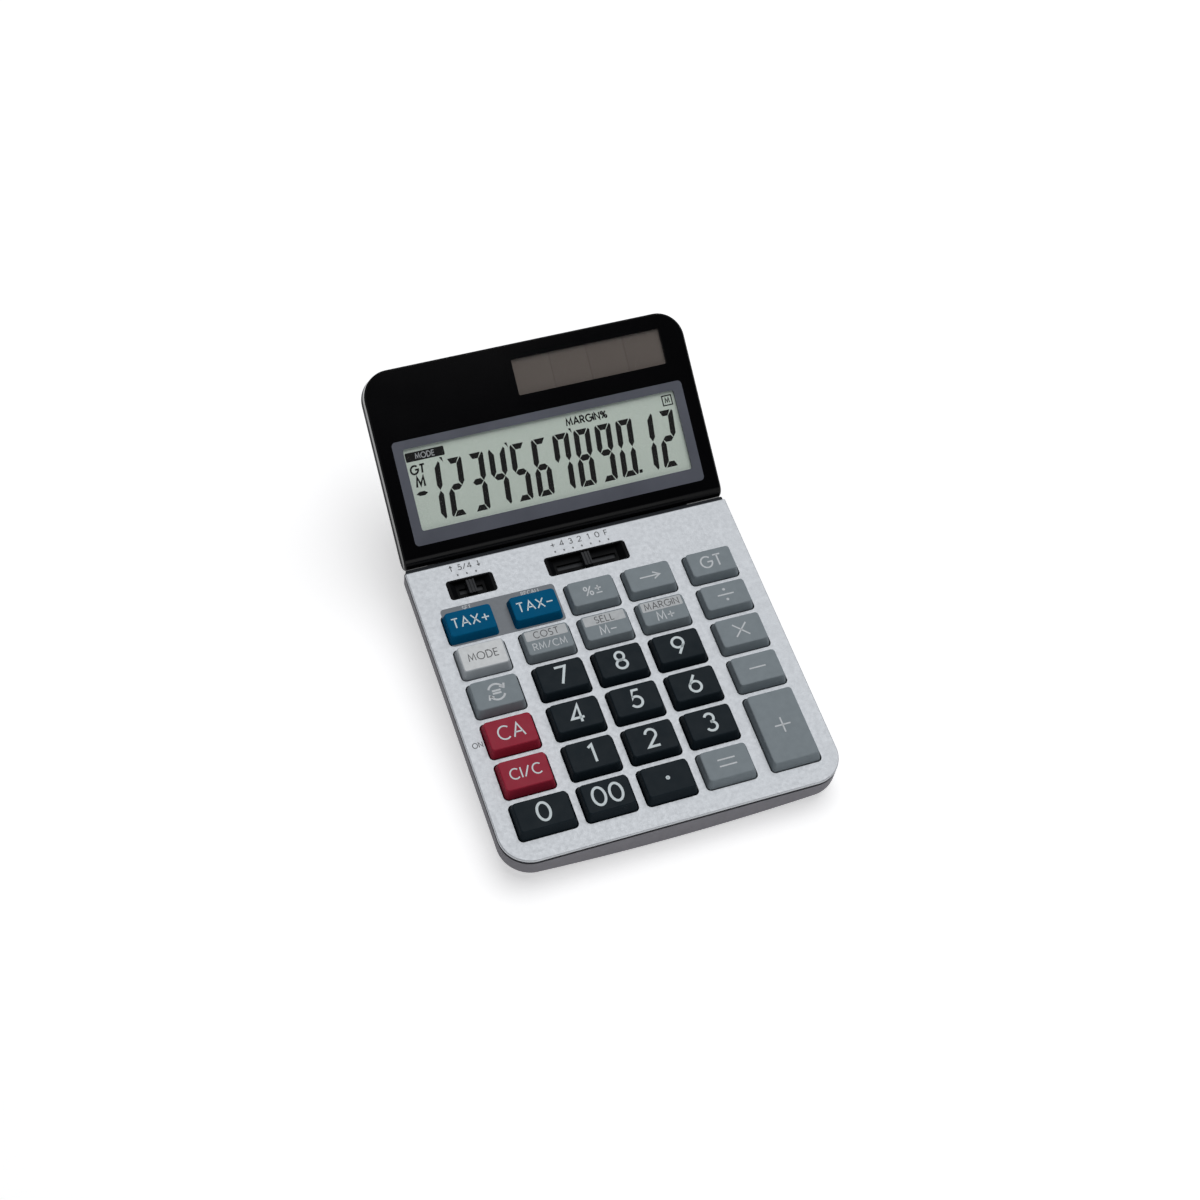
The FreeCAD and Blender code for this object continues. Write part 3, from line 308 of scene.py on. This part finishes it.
# ---------------------------------------------------------------- strokes and glyphs

ARC_STEP_DEGREES = 12
ARC_LEAST_STEPS = 6


def arc(x, y, radius_x, radius_y, start, end):
    """Points along part of an ellipse, with angles in degrees."""
    steps = max(ARC_LEAST_STEPS, int(abs(end - start) / ARC_STEP_DEGREES))
    turns = [math.radians(start + (end - start) * step / steps) for step in range(steps + 1)]
    return [(x + radius_x * math.cos(turn), y + radius_y * math.sin(turn)) for turn in turns]


# Each glyph is its width and its strokes, one unit tall, in a plain face of even line width.
# "exchange" is a currency exchange sign: two arrows that chase each other round a double bar.
GLYPHS = {
    "0": (0.66, [arc(0.33, 0.5, 0.33, 0.5, 0, 360)]),
    "1": (0.22, [[(0.0, 0.86), (0.22, 1.0), (0.22, 0.0)]]),
    "2": (0.6, [arc(0.29, 0.71, 0.28, 0.29, 172, -32) + [(0.0, 0.0), (0.6, 0.0)]]),
    "3": (0.56, [arc(0.27, 0.75, 0.24, 0.25, 160, -90),
                 arc(0.27, 0.26, 0.28, 0.26, 90, -160)]),
    "4": (0.66, [[(0.48, 0.0), (0.48, 1.0), (0.0, 0.26), (0.66, 0.26)]]),
    "5": (0.58, [[(0.54, 1.0), (0.2, 1.0), (0.1, 0.55)]
                 + arc(0.26, 0.31, 0.31, 0.31, 118, -152)]),
    "6": (0.64, [[(0.42, 1.0), (0.06, 0.46)], arc(0.32, 0.31, 0.31, 0.31, 0, 360)]),
    "7": (0.58, [[(0.0, 1.0), (0.58, 1.0), (0.18, 0.0)]]),
    "8": (0.6, [arc(0.3, 0.75, 0.24, 0.25, 0, 360), arc(0.3, 0.26, 0.29, 0.26, 0, 360)]),
    "9": (0.64, [arc(0.32, 0.69, 0.31, 0.31, 0, 360), [(0.58, 0.54), (0.22, 0.0)]]),
    "A": (0.78, [[(0.0, 0.0), (0.39, 1.0), (0.78, 0.0)], [(0.14, 0.34), (0.64, 0.34)]]),
    "C": (0.76, [arc(0.46, 0.5, 0.45, 0.5, 48, 312)]),
    "D": (0.68, [[(0.0, 0.0), (0.0, 1.0), (0.22, 1.0)] + arc(0.22, 0.5, 0.46, 0.5, 90, -90)
                 + [(0.0, 0.0)]]),
    "E": (0.5, [[(0.5, 1.0), (0.0, 1.0), (0.0, 0.0), (0.5, 0.0)],
                [(0.0, 0.52), (0.44, 0.52)]]),
    "F": (0.48, [[(0.48, 1.0), (0.0, 1.0), (0.0, 0.0)], [(0.0, 0.52), (0.42, 0.52)]]),
    "G": (0.86, [arc(0.47, 0.5, 0.46, 0.5, 46, 350) + [(0.92, 0.5), (0.54, 0.5)]]),
    "I": (0.0, [[(0.0, 0.0), (0.0, 1.0)]]),
    "L": (0.46, [[(0.0, 1.0), (0.0, 0.0), (0.46, 0.0)]]),
    "M": (0.84, [[(0.0, 0.0), (0.1, 1.0), (0.42, 0.18), (0.74, 1.0), (0.84, 0.0)]]),
    "N": (0.66, [[(0.0, 0.0), (0.0, 1.0), (0.66, 0.0), (0.66, 1.0)]]),
    "O": (0.92, [arc(0.46, 0.5, 0.46, 0.5, 0, 360)]),
    "R": (0.56, [[(0.0, 0.0), (0.0, 1.0), (0.24, 1.0)] + arc(0.24, 0.74, 0.28, 0.26, 90, -90)
                 + [(0.0, 0.48)], [(0.24, 0.48), (0.56, 0.0)]]),
    "S": (0.52, [arc(0.26, 0.74, 0.22, 0.26, 40, 250)
                 + arc(0.26, 0.25, 0.25, 0.25, 80, -145)]),
    "T": (0.6, [[(0.0, 1.0), (0.6, 1.0)], [(0.3, 1.0), (0.3, 0.0)]]),
    "X": (0.68, [[(0.0, 0.0), (0.68, 1.0)], [(0.0, 1.0), (0.68, 0.0)]]),
    "+": (0.7, [[(0.0, 0.45), (0.7, 0.45)], [(0.35, 0.1), (0.35, 0.8)]]),
    "-": (0.6, [[(0.0, 0.45), (0.6, 0.45)]]),
    "add": (1.15, [[(0.0, 0.5), (1.15, 0.5)], [(0.575, -0.08), (0.575, 1.08)]]),
    "subtract": (1.2, [[(0.0, 0.5), (1.2, 0.5)]]),
    "=": (1.25, [[(0.0, 0.26), (1.25, 0.26)], [(0.0, 0.74), (1.25, 0.74)]]),
    "*": (1.0, [[(0.0, 0.0), (1.0, 1.0)], [(0.0, 1.0), (1.0, 0.0)]]),
    "/": (0.5, [[(0.0, 0.0), (0.5, 1.0)]]),
    ".": (0.09, [arc(0.045, 0.5, 0.045, 0.045, 0, 360)]),
    "%": (0.82, [[(0.12, 0.0), (0.7, 1.0)], arc(0.16, 0.78, 0.15, 0.19, 0, 360),
                 arc(0.66, 0.22, 0.15, 0.19, 0, 360)]),
    ">": (1.9, [[(0.0, 0.5), (1.8, 0.5)], [(1.3, 0.86), (1.9, 0.5), (1.3, 0.14)]]),
    "^": (0.5, [[(0.25, 0.0), (0.25, 1.0)], [(0.0, 0.68), (0.25, 1.0), (0.5, 0.68)]]),
    "v": (0.5, [[(0.25, 1.0), (0.25, 0.0)], [(0.0, 0.32), (0.25, 0.0), (0.5, 0.32)]]),
    "divide": (1.2, [[(0.0, 0.5), (1.2, 0.5)], arc(0.6, 0.92, 0.05, 0.05, 0, 360),
                     arc(0.6, 0.08, 0.05, 0.05, 0, 360)]),
    "plusminus": (0.6, [[(0.0, 0.62), (0.6, 0.62)], [(0.3, 0.34), (0.3, 0.92)],
                        [(0.0, 0.1), (0.6, 0.1)]]),
    "exchange": (1.3, [arc(0.65, 0.5, 0.5, 0.54, 155, 22),
                       arc(0.65, 0.5, 0.5, 0.54, -25, -158),
                       [(0.9, 0.84), (1.14, 0.7), (1.22, 0.98)],
                       [(0.4, 0.16), (0.16, 0.3), (0.08, 0.02)],
                       [(0.38, 0.59), (0.92, 0.59)], [(0.38, 0.41), (0.92, 0.41)]]),
}

LETTER_GAP = 0.26      # between glyphs, as a part of their height
STROKE_WEIGHT = 0.13   # the usual line width of a legend, as a part of its height
MITRE_LIMIT = 0.4
CLOSED_GAP = 1e-6


def ribbon(mesh, points, width):
    """A flat band of even width along a line of points, with square ends and mitred bends."""
    closed = (Vector(points[0]) - Vector(points[-1])).length < CLOSED_GAP
    places = [Vector(point) for point in (points[:-1] if closed else points)]
    count = len(places)
    sides = []
    for index, place in enumerate(places):
        before = places[index - 1] if index or closed else None
        after = places[(index + 1) % count] if index < count - 1 or closed else None
        ways = [(place - before).normalized()] if before is not None else []
        ways += [(after - place).normalized()] if after is not None else []
        along = sum(ways, Vector((0, 0))).normalized()
        across = Vector((-along.y, along.x))
        first = Vector((-ways[0].y, ways[0].x))
        reach = width / 2 / max(MITRE_LIMIT, across.dot(first))
        left = place + across * reach
        right = place - across * reach
        sides.append((mesh.verts.new((left.x, left.y, 0)),
                      mesh.verts.new((right.x, right.y, 0))))
    followers = sides[1:] + sides[:1] if closed else sides[1:]
    for (left_a, right_a), (left_b, right_b) in zip(sides, followers):
        mesh.faces.new((right_a, right_b, left_b, left_a))


def write_text(mesh, text, middle, height, weight, slant=0.0):
    """Draw glyphs centred on a point; text is a string or a list of glyph names."""
    gap = height * LETTER_GAP
    length = sum(GLYPHS[letter][0] * height for letter in text) + gap * (len(text) - 1)
    pen = middle[0] - length / 2
    base = middle[1] - height / 2
    for letter in text:
        width, strokes = GLYPHS[letter]
        for stroke in strokes:
            points = [(pen + x * height + slant * y * height, base + y * height)
                      for x, y in stroke]
            ribbon(mesh, points, weight)
        pen += width * height + gap


def panel(mesh, low, high, radius=0.0):
    """A flat rectangle, with rounded corners if it has a radius."""
    corners = []
    for x, y, start in ((high[0], high[1], 0), (low[0], high[1], 90),
                        (low[0], low[1], 180), (high[0], low[1], 270)):
        middle_x = x - radius if x == high[0] else x + radius
        middle_y = y - radius if y == high[1] else y + radius
        if radius:
            corners += arc(middle_x, middle_y, radius, radius, start, start + 90)
        else:
            corners.append((x, y))
    mesh.faces.new([mesh.verts.new((x, y, 0)) for x, y in corners])


def flat_piece(name, draw, matrix, level, material, body):
    """A printed piece: what draw() makes in millimetres, laid level metres up a frame's z."""
    mesh = bmesh.new()
    draw(mesh)
    bmesh.ops.scale(mesh, vec=(MM, MM, MM), verts=mesh.verts)
    bmesh.ops.translate(mesh, vec=(0, 0, level), verts=mesh.verts)
    bmesh.ops.transform(mesh, matrix=matrix, verts=mesh.verts)
    data = bpy.data.meshes.new(name)
    mesh.to_mesh(data)
    mesh.free()
    data.materials.append(material)
    piece = bpy.data.objects.new(name, data)
    bpy.context.scene.collection.objects.link(piece)
    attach(piece, body)


# ---------------------------------------------------------------- key legends
# from here to the display, lengths without MM are in millimetres along the deck's axes

PRINT_LIFT = 0.02 * MM
KEY_REAR_SHIFT = 0.4

DIGIT = 6.0
SYMBOL = 4.6
WORD = 3.2
SMALL = 2.3
SMALL_WEIGHT = 0.3

# each key's legend and its height
LEGENDS = {
    "key_0": ("0", DIGIT), "key_00": ("00", DIGIT), "key_point": (".", DIGIT),
    "key_1": ("1", DIGIT), "key_2": ("2", DIGIT), "key_3": ("3", DIGIT),
    "key_4": ("4", DIGIT), "key_5": ("5", DIGIT), "key_6": ("6", DIGIT),
    "key_7": ("7", DIGIT), "key_8": ("8", DIGIT), "key_9": ("9", DIGIT),
    "key_equals": ("=", SYMBOL), "key_plus": (["add"], SYMBOL),
    "key_minus": (["subtract"], SYMBOL), "key_multiply": ("*", SYMBOL),
    "key_divide": (["divide"], SYMBOL), "key_backspace": (">", 3.6),
    "key_percent": (["%", "plusminus"], 3.4), "key_grand_total": ("GT", 4.2),
    "key_convert": (["exchange"], 5.2), "key_clear_all": ("CA", 4.6), "key_clear": ("CI/C", 3.5),
    "key_tax_plus": ("TAX+", 3.4), "key_tax_minus": ("TAX-", 3.4), "key_mode": ("MODE", 2.6),
}
WEIGHTS = {DIGIT: 0.82, SYMBOL: 0.5}
# keys with a pale panel at the rear: the word on it, the legend below it and that one's height
PANELLED = {
    "key_cost": ("COST", "RM/CM", 2.4), "key_sell": ("SELL", ["M", "-"], WORD),
    "key_margin": ("MARGIN", ["M", "+"], WORD),
}
PANEL_HALF_WIDTH = 6.9
PANEL_FRONT = 0.5
PANEL_REAR = 4.0
PANEL_RADIUS = 0.4
PANEL_WORD_Y = 2.25
PANEL_LEGEND_Y = -1.9
MODE_HALF_WIDTH = 7.1
MODE_HALF_DEPTH = 4.2
MODE_RADIUS = 0.6

LEGEND_INKS = {"key_light": INK_DARK, "key_grey": INK_PALE}


def key_top(node):
    """The middle of a key's top face in deck millimetres, and its height in metres."""
    low, high = span(node, DECK)
    middle = (low + high) / 2 / MM
    return middle.x, middle.y + KEY_REAR_SHIFT, high.z


def lay_on_key(kind, node, draw, lift, ink):
    """Print on a key's top face, named after what kind of print it is."""
    flat_piece(f"{kind}_{node}", draw, DECK, key_top(node)[2] + lift, ink,
               f"press_{node}")


def add_legends():
    for node, (text, height) in LEGENDS.items():
        place = key_top(node)[:2]
        weight = WEIGHTS.get(height, height * STROKE_WEIGHT)
        lay_on_key("legend", node, lambda mesh: write_text(mesh, text, place, height, weight),
                   PRINT_LIFT, LEGEND_INKS.get(SLOTS[node], INK_WHITE))
    x, y, _ = key_top("key_mode")
    low = (x - MODE_HALF_WIDTH, y - MODE_HALF_DEPTH)
    high = (x + MODE_HALF_WIDTH, y + MODE_HALF_DEPTH)
    lay_on_key("panel", "key_mode", lambda mesh: panel(mesh, low, high, MODE_RADIUS),
               PRINT_LIFT / 2, INK_PAPER)
    for node, (upper, lower, height) in PANELLED.items():
        x, y, _ = key_top(node)
        low = (x - PANEL_HALF_WIDTH, y + PANEL_FRONT)
        high = (x + PANEL_HALF_WIDTH, y + PANEL_REAR)
        word_place = (x, y + PANEL_WORD_Y)
        legend_place = (x, y + PANEL_LEGEND_Y)
        weight = height * STROKE_WEIGHT
        lay_on_key("panel", node, lambda mesh: panel(mesh, low, high, PANEL_RADIUS),
                   PRINT_LIFT, INK_PANEL)
        lay_on_key("word", node,
                   lambda mesh: write_text(mesh, upper, word_place, SMALL, SMALL_WEIGHT),
                   2 * PRINT_LIFT, INK_DARK)
        lay_on_key("legend", node,
                   lambda mesh: write_text(mesh, lower, legend_place, height, weight),
                   PRINT_LIFT, INK_PALE)


# ---------------------------------------------------------------- print on the face plate

SLIDE_PITCH = 3.08
ROUNDING_LETTER_PITCH = 4.6
TICK_RISE = 0.95
TICK_HALF_WIDTH = 0.24
TICK_HALF_DEPTH = 0.34
SCALE_LETTER_RISE = 2.8
SCALE_LETTER = 2.0
SCALE_WEIGHT = 0.3

FLANGE = 0.8
BAND_LEFT = 0.3
BAND_RIGHT = 0.7
BAND_FRONT = 0.6
BAND_REAR = 2.7
BAND_RADIUS = 1.2
BAND_WORD = 1.3
BAND_WORD_WEIGHT = 0.24
BAND_WORD_SHIFT = 0.8
BAND_WORD_DROP = 1.2

ON_LETTER = 1.7
ON_WEIGHT = 0.27
ON_SHIFT = 2.6


def key_face(node):
    """The edges of a key's body, without the flange hidden under the plate."""
    low, high = span(node, DECK)
    return ((low.x / MM + FLANGE, low.y / MM + FLANGE),
            (high.x / MM - FLANGE, high.y / MM - FLANGE))


def lay_on_plate(name, draw, ink, lift=PRINT_LIFT):
    flat_piece(name, draw, DECK, lift, ink, "base")


def draw_scale(mesh, tray, steps, letters, letter_pitch):
    """A tick for each position of a slide switch, and a row of letters behind the ticks."""
    low, high = span(tray, DECK)
    middle = (low.x + high.x) / 2 / MM
    tick_y = high.y / MM + TICK_RISE
    for step in range(-steps, steps + 1):
        x = middle + step * SLIDE_PITCH
        panel(mesh, (x - TICK_HALF_WIDTH, tick_y - TICK_HALF_DEPTH),
              (x + TICK_HALF_WIDTH, tick_y + TICK_HALF_DEPTH))
    first = middle - (len(letters) - 1) / 2 * letter_pitch
    for index, letter in enumerate(letters):
        write_text(mesh, letter, (first + index * letter_pitch, tick_y + SCALE_LETTER_RISE),
                   SCALE_LETTER, SCALE_WEIGHT)


def add_plate_print():
    plus_low, plus_high = key_face("key_tax_plus")
    minus_low, minus_high = key_face("key_tax_minus")
    rear = plus_high[1] + BAND_REAR
    band_low = (plus_low[0] + BAND_LEFT, plus_low[1] - BAND_FRONT)
    band_high = (minus_high[0] + BAND_RIGHT, rear)
    lay_on_plate("tax_band", lambda mesh: panel(mesh, band_low, band_high, BAND_RADIUS),
                 INK_GREY)
    for word, low, high in (("SET", plus_low, plus_high), ("RECALL", minus_low, minus_high)):
        place = ((low[0] + high[0]) / 2 + BAND_WORD_SHIFT, rear - BAND_WORD_DROP)
        lay_on_plate(f"tax_word_{word}",
                     lambda mesh: write_text(mesh, word, place, BAND_WORD, BAND_WORD_WEIGHT),
                     INK_PALE, 2 * PRINT_LIFT)
    lay_on_plate("decimal_scale",
                 lambda mesh: draw_scale(mesh, "decimal_tray", 3, "+43210F", SLIDE_PITCH),
                 INK_DARK)
    lay_on_plate("rounding_scale",
                 lambda mesh: draw_scale(mesh, "rounding_tray", 1, ["^", "5/4", "v"],
                                         ROUNDING_LETTER_PITCH), INK_DARK)
    clear_low, clear_high = key_face("key_clear_all")
    on_place = (clear_low[0] - ON_SHIFT, (clear_low[1] + clear_high[1]) / 2)
    lay_on_plate("on_mark", lambda mesh: write_text(mesh, "ON", on_place, ON_LETTER, ON_WEIGHT),
                 INK_DARK)


# ---------------------------------------------------------------- display segments

# lengths without MM are in millimetres along the head's axes
# which side of the digit each upright is on, and whether it is in the upper half
SEGMENT_UPRIGHTS = {"b": (1, True), "c": (1, False), "e": (0, False), "f": (0, True)}
SEGMENT_LEVELS = {"a": 1.0, "g": 0.5, "d": 0.0}
SHOWN = {"0": "abcdef", "1": "bc", "2": "abged", "3": "abgcd", "4": "fgbc", "5": "afgcd",
         "6": "afgedc", "7": "fabc", "8": "abcdefg", "9": "abcdfg"}
READOUT = "123456789012"
COMMAS_AFTER = (0, 3, 6)
POINT_AFTER = 9
DIGIT_LEFT = 4.45
DIGIT_BASE = 3.0
DIGIT_HEIGHT = 17.0
DIGIT_WIDTH = 3.8
DIGIT_PITCH = 7.37
DIGIT_SLANT = 0.095
BAR = 1.85
BAR_GAP = 0.1
BAR_TAPER = 1.0
OUTER_CUT = 0.75 * BAR    # how much shorter an upright's outer and inner edges are at mid height
INNER_CUT = 0.9 * BAR
CORNER_CUT = 0.35 * BAR   # the cut across its outer corner
LOZENGE_END = 0.9
LOZENGE_HALF = 1.0
FLAG_ROW = 24.0
FLAG_HALF = 1.5
FLAG_LEFT = 0.3
FLAG_RIGHT = 13.3
FLAG_RADIUS = 0.4


def facet(mesh, places):
    """A flat facet that faces up, whichever way round its corners are given."""
    turns = [x * next_y - next_x * y
             for (x, y), (next_x, next_y) in zip(places, places[1:] + places[:1])]
    if sum(turns) < 0:
        places = places[::-1]
    mesh.faces.new([mesh.verts.new((x, y, 0)) for x, y in places])


def lean(left, base, x, y):
    """A point of a slanted digit, whose lower left corner is at left and base."""
    return left + x + DIGIT_SLANT * y, base + y


def draw_digit(mesh, left, base, names):
    """The named segments of a digit: uprights to the corners, tapered bars, and a lozenge."""
    half = BAR / 2
    middle = DIGIT_HEIGHT / 2
    top = DIGIT_HEIGHT + half
    for name in names:
        if name in SEGMENT_UPRIGHTS:
            side, is_upper = SEGMENT_UPRIGHTS[name]
            x = side * DIGIT_WIDTH
            outer = half if side else -half
            start = middle + BAR_GAP
            outline = [(x, start), (x + outer, start + OUTER_CUT),
                       (x + outer, top - CORNER_CUT), (x + outer / 2, top),
                       (x - outer, top - BAR - 2 * BAR_GAP), (x - outer, start + INNER_CUT)]
            if not is_upper:
                outline = [(x, DIGIT_HEIGHT - y) for x, y in outline]
        elif name == "g":
            start, end = BAR_GAP, DIGIT_WIDTH - BAR_GAP
            outline = [(start, middle), (start + LOZENGE_END, middle - LOZENGE_HALF),
                       (end - LOZENGE_END, middle - LOZENGE_HALF), (end, middle),
                       (end - LOZENGE_END, middle + LOZENGE_HALF),
                       (start + LOZENGE_END, middle + LOZENGE_HALF)]
        else:
            y = SEGMENT_LEVELS[name] * DIGIT_HEIGHT
            outer = half if name == "a" else -half
            outline = [(0, y + outer), (DIGIT_WIDTH, y + outer),
                       (DIGIT_WIDTH - BAR_TAPER, y - outer), (BAR_TAPER, y - outer)]
        facet(mesh, [lean(left, base, x, y) for x, y in outline])


def draw_readout(mesh, left, base):
    for index, digit in enumerate(READOUT):
        draw_digit(mesh, left + index * DIGIT_PITCH, base, SHOWN[digit])
    for index in COMMAS_AFTER:
        x, y = lean(left + index * DIGIT_PITCH, base, DIGIT_WIDTH + 1.6, DIGIT_HEIGHT + 1.2)
        facet(mesh, [(x - 0.5, y + 0.8), (x + 0.4, y + 0.8), (x + 0.5, y - 0.9)])
    point = left + POINT_AFTER * DIGIT_PITCH + DIGIT_WIDTH + 1.7
    facet(mesh, [(point - 0.55, base - 0.6), (point + 0.55, base - 0.6),
                 (point + 0.65, base + 0.5), (point - 0.45, base + 0.5)])


def draw_indicators(mesh, left, right, base):
    """The small signs at the left and along the top, and a framed letter in the corner."""
    top = base + FLAG_ROW
    write_text(mesh, "GT", (left + 3.2, base + 19.7), 2.7, 0.6, slant=0.1)
    write_text(mesh, "M", (left + 3.2, base + 15.6), 3.2, 0.7, slant=0.1)
    facet(mesh, [(left + 1.0, base + 11.8), (left + 2.2, base + 11.1),
                 (left + 3.8, base + 11.1), (left + 5.0, base + 11.8),
                 (left + 3.8, base + 12.5), (left + 2.2, base + 12.5)])
    write_text(mesh, "MARGIN%", (left + 62.3, top), 2.3, 0.5)
    middle = right - 2.6
    write_text(mesh, "M", (middle, top), 1.7, 0.35)
    half = 1.6
    ribbon(mesh, [(middle - half, top - half), (middle + half, top - half),
                  (middle + half, top + half), (middle - half, top + half),
                  (middle - half, top - half)], 0.4)


def add_display():
    low, high = span("display_lens", HEAD)
    left, right, base = low.x / MM, high.x / MM, low.y / MM
    glass = span("lcd_glass", HEAD)[1].z + PRINT_LIFT
    flag_low = (left + FLAG_LEFT, base + FLAG_ROW - FLAG_HALF)
    flag_high = (left + FLAG_RIGHT, base + FLAG_ROW + FLAG_HALF)
    flag_middle = ((flag_low[0] + flag_high[0]) / 2, base + FLAG_ROW)

    def lay(name, draw, lift, ink):
        flat_piece(name, draw, HEAD, glass + lift, ink, "head")

    lay("readout", lambda mesh: draw_readout(mesh, left + DIGIT_LEFT, base + DIGIT_BASE), 0,
        SEGMENT_INK)
    lay("indicators", lambda mesh: draw_indicators(mesh, left, right, base), 0, SEGMENT_INK)
    lay("mode_flag", lambda mesh: panel(mesh, flag_low, flag_high, FLAG_RADIUS), 0, SEGMENT_INK)
    lay("mode_flag_word", lambda mesh: write_text(mesh, "MODE", flag_middle, 1.7, 0.32),
        PRINT_LIFT, INK_PANEL)


add_legends()
add_plate_print()
add_display()

# ---------------------------------------------------------------- floor, light and camera
# lengths are metres

FLOOR_RINGS = (0.001, 1.2, 2.4, 3.6)
SWEEP_RADIUS = 1.4
WALL_TOP = 3.0
REVOLVE_STEPS = 96
FLOOR_GLOW = 0.5

WORLD_COLOUR = (0.92, 0.95, 1.0, 1)
WORLD_STRENGTH = 0.07
LIGHT_AIM = Vector((0, 0, 0.02))


def revolve(name, profile, material):
    """A surface of revolution about the z axis, from points of radius and height."""
    mesh = bmesh.new()
    angles = [2 * math.pi * step / REVOLVE_STEPS for step in range(REVOLVE_STEPS)]
    rings = [[mesh.verts.new((radius * math.cos(angle), radius * math.sin(angle), height))
              for angle in angles] for radius, height in profile]
    for inner, outer in zip(rings, rings[1:]):
        for step in range(REVOLVE_STEPS):
            after = (step + 1) % REVOLVE_STEPS
            mesh.faces.new((inner[step], outer[step], outer[after], inner[after]))
    data = bpy.data.meshes.new(name)
    mesh.to_mesh(data)
    mesh.free()
    data.shade_smooth()
    data.materials.append(material)
    thing = bpy.data.objects.new(name, data)
    bpy.context.scene.collection.objects.link(thing)
    return thing


def add_floor():
    """A level floor, and a backdrop that sweeps up from its edge.

    The backdrop is seen directly and in gloss, and adds nothing to the diffuse light.
    """
    finish = Finish("studio floor", srgb(240, 240, 241), Roughness=0.8)
    finish.vary_colour(3, srgb(238, 238, 239), srgb(242, 242, 243))
    finish.shader.inputs["Emission Color"].default_value = (1, 1, 1, 1)
    finish.shader.inputs["Emission Strength"].default_value = FLOOR_GLOW
    revolve("studio_floor", [(radius, 0) for radius in FLOOR_RINGS], finish.material)
    edge = FLOOR_RINGS[-1]
    sweep = arc(edge, SWEEP_RADIUS, SWEEP_RADIUS, SWEEP_RADIUS, -90, 0)
    backdrop = revolve("studio_backdrop", sweep + [(edge + SWEEP_RADIUS, WALL_TOP)],
                       finish.material)
    backdrop.visible_diffuse = False


def add_area(name, place, size, power):
    """A square area light that points at the object."""
    light = bpy.data.lights.new(name, "AREA")
    light.energy = power
    light.size = size
    lamp = bpy.data.objects.new(name, light)
    lamp.location = place
    lamp.rotation_euler = (LIGHT_AIM - Vector(place)).to_track_quat("-Z", "Y").to_euler()
    bpy.context.scene.collection.objects.link(lamp)


def add_lights():
    add_area("top_softbox", (0.35, 0.35, 1.6), 1.7, 21)
    add_area("front_fill", (0.2, -1.8, 0.5), 0.9, 3)
    world = bpy.data.worlds.new("studio")
    world.use_nodes = True
    background = world.node_tree.nodes["Background"]
    background.inputs["Color"].default_value = WORLD_COLOUR
    background.inputs["Strength"].default_value = WORLD_STRENGTH
    bpy.context.scene.world = world


CAMERA_AZIMUTH = math.radians(24.48)  # of the way it looks, from the y axis towards x
CAMERA_ELEVATION = math.radians(52.93)
CAMERA_ROLL = math.radians(6.13)
CAMERA_DISTANCE = 0.66715
CAMERA_AIM = Vector((0.00108, -0.00305, 0.0219))
CAMERA_LENS = 62.37
SENSOR_WIDTH = 36


def add_camera():
    """The camera looks forward and down at the object from in front, rolled a little."""
    forward = Vector((math.sin(CAMERA_AZIMUTH) * math.cos(CAMERA_ELEVATION),
                      math.cos(CAMERA_AZIMUTH) * math.cos(CAMERA_ELEVATION),
                      -math.sin(CAMERA_ELEVATION)))
    camera = bpy.data.objects.new("camera", bpy.data.cameras.new("camera"))
    camera.data.lens = CAMERA_LENS
    camera.data.sensor_width = SENSOR_WIDTH
    turn = forward.to_track_quat("-Z", "Y").to_matrix() @ Matrix.Rotation(CAMERA_ROLL, 3, "Z")
    place = CAMERA_AIM - forward * CAMERA_DISTANCE
    camera.matrix_world = Matrix.Translation(place) @ turn.to_4x4()
    bpy.context.scene.collection.objects.link(camera)
    bpy.context.scene.camera = camera


add_floor()
add_lights()
add_camera()
bpy.context.scene.view_settings.view_transform = "Standard"
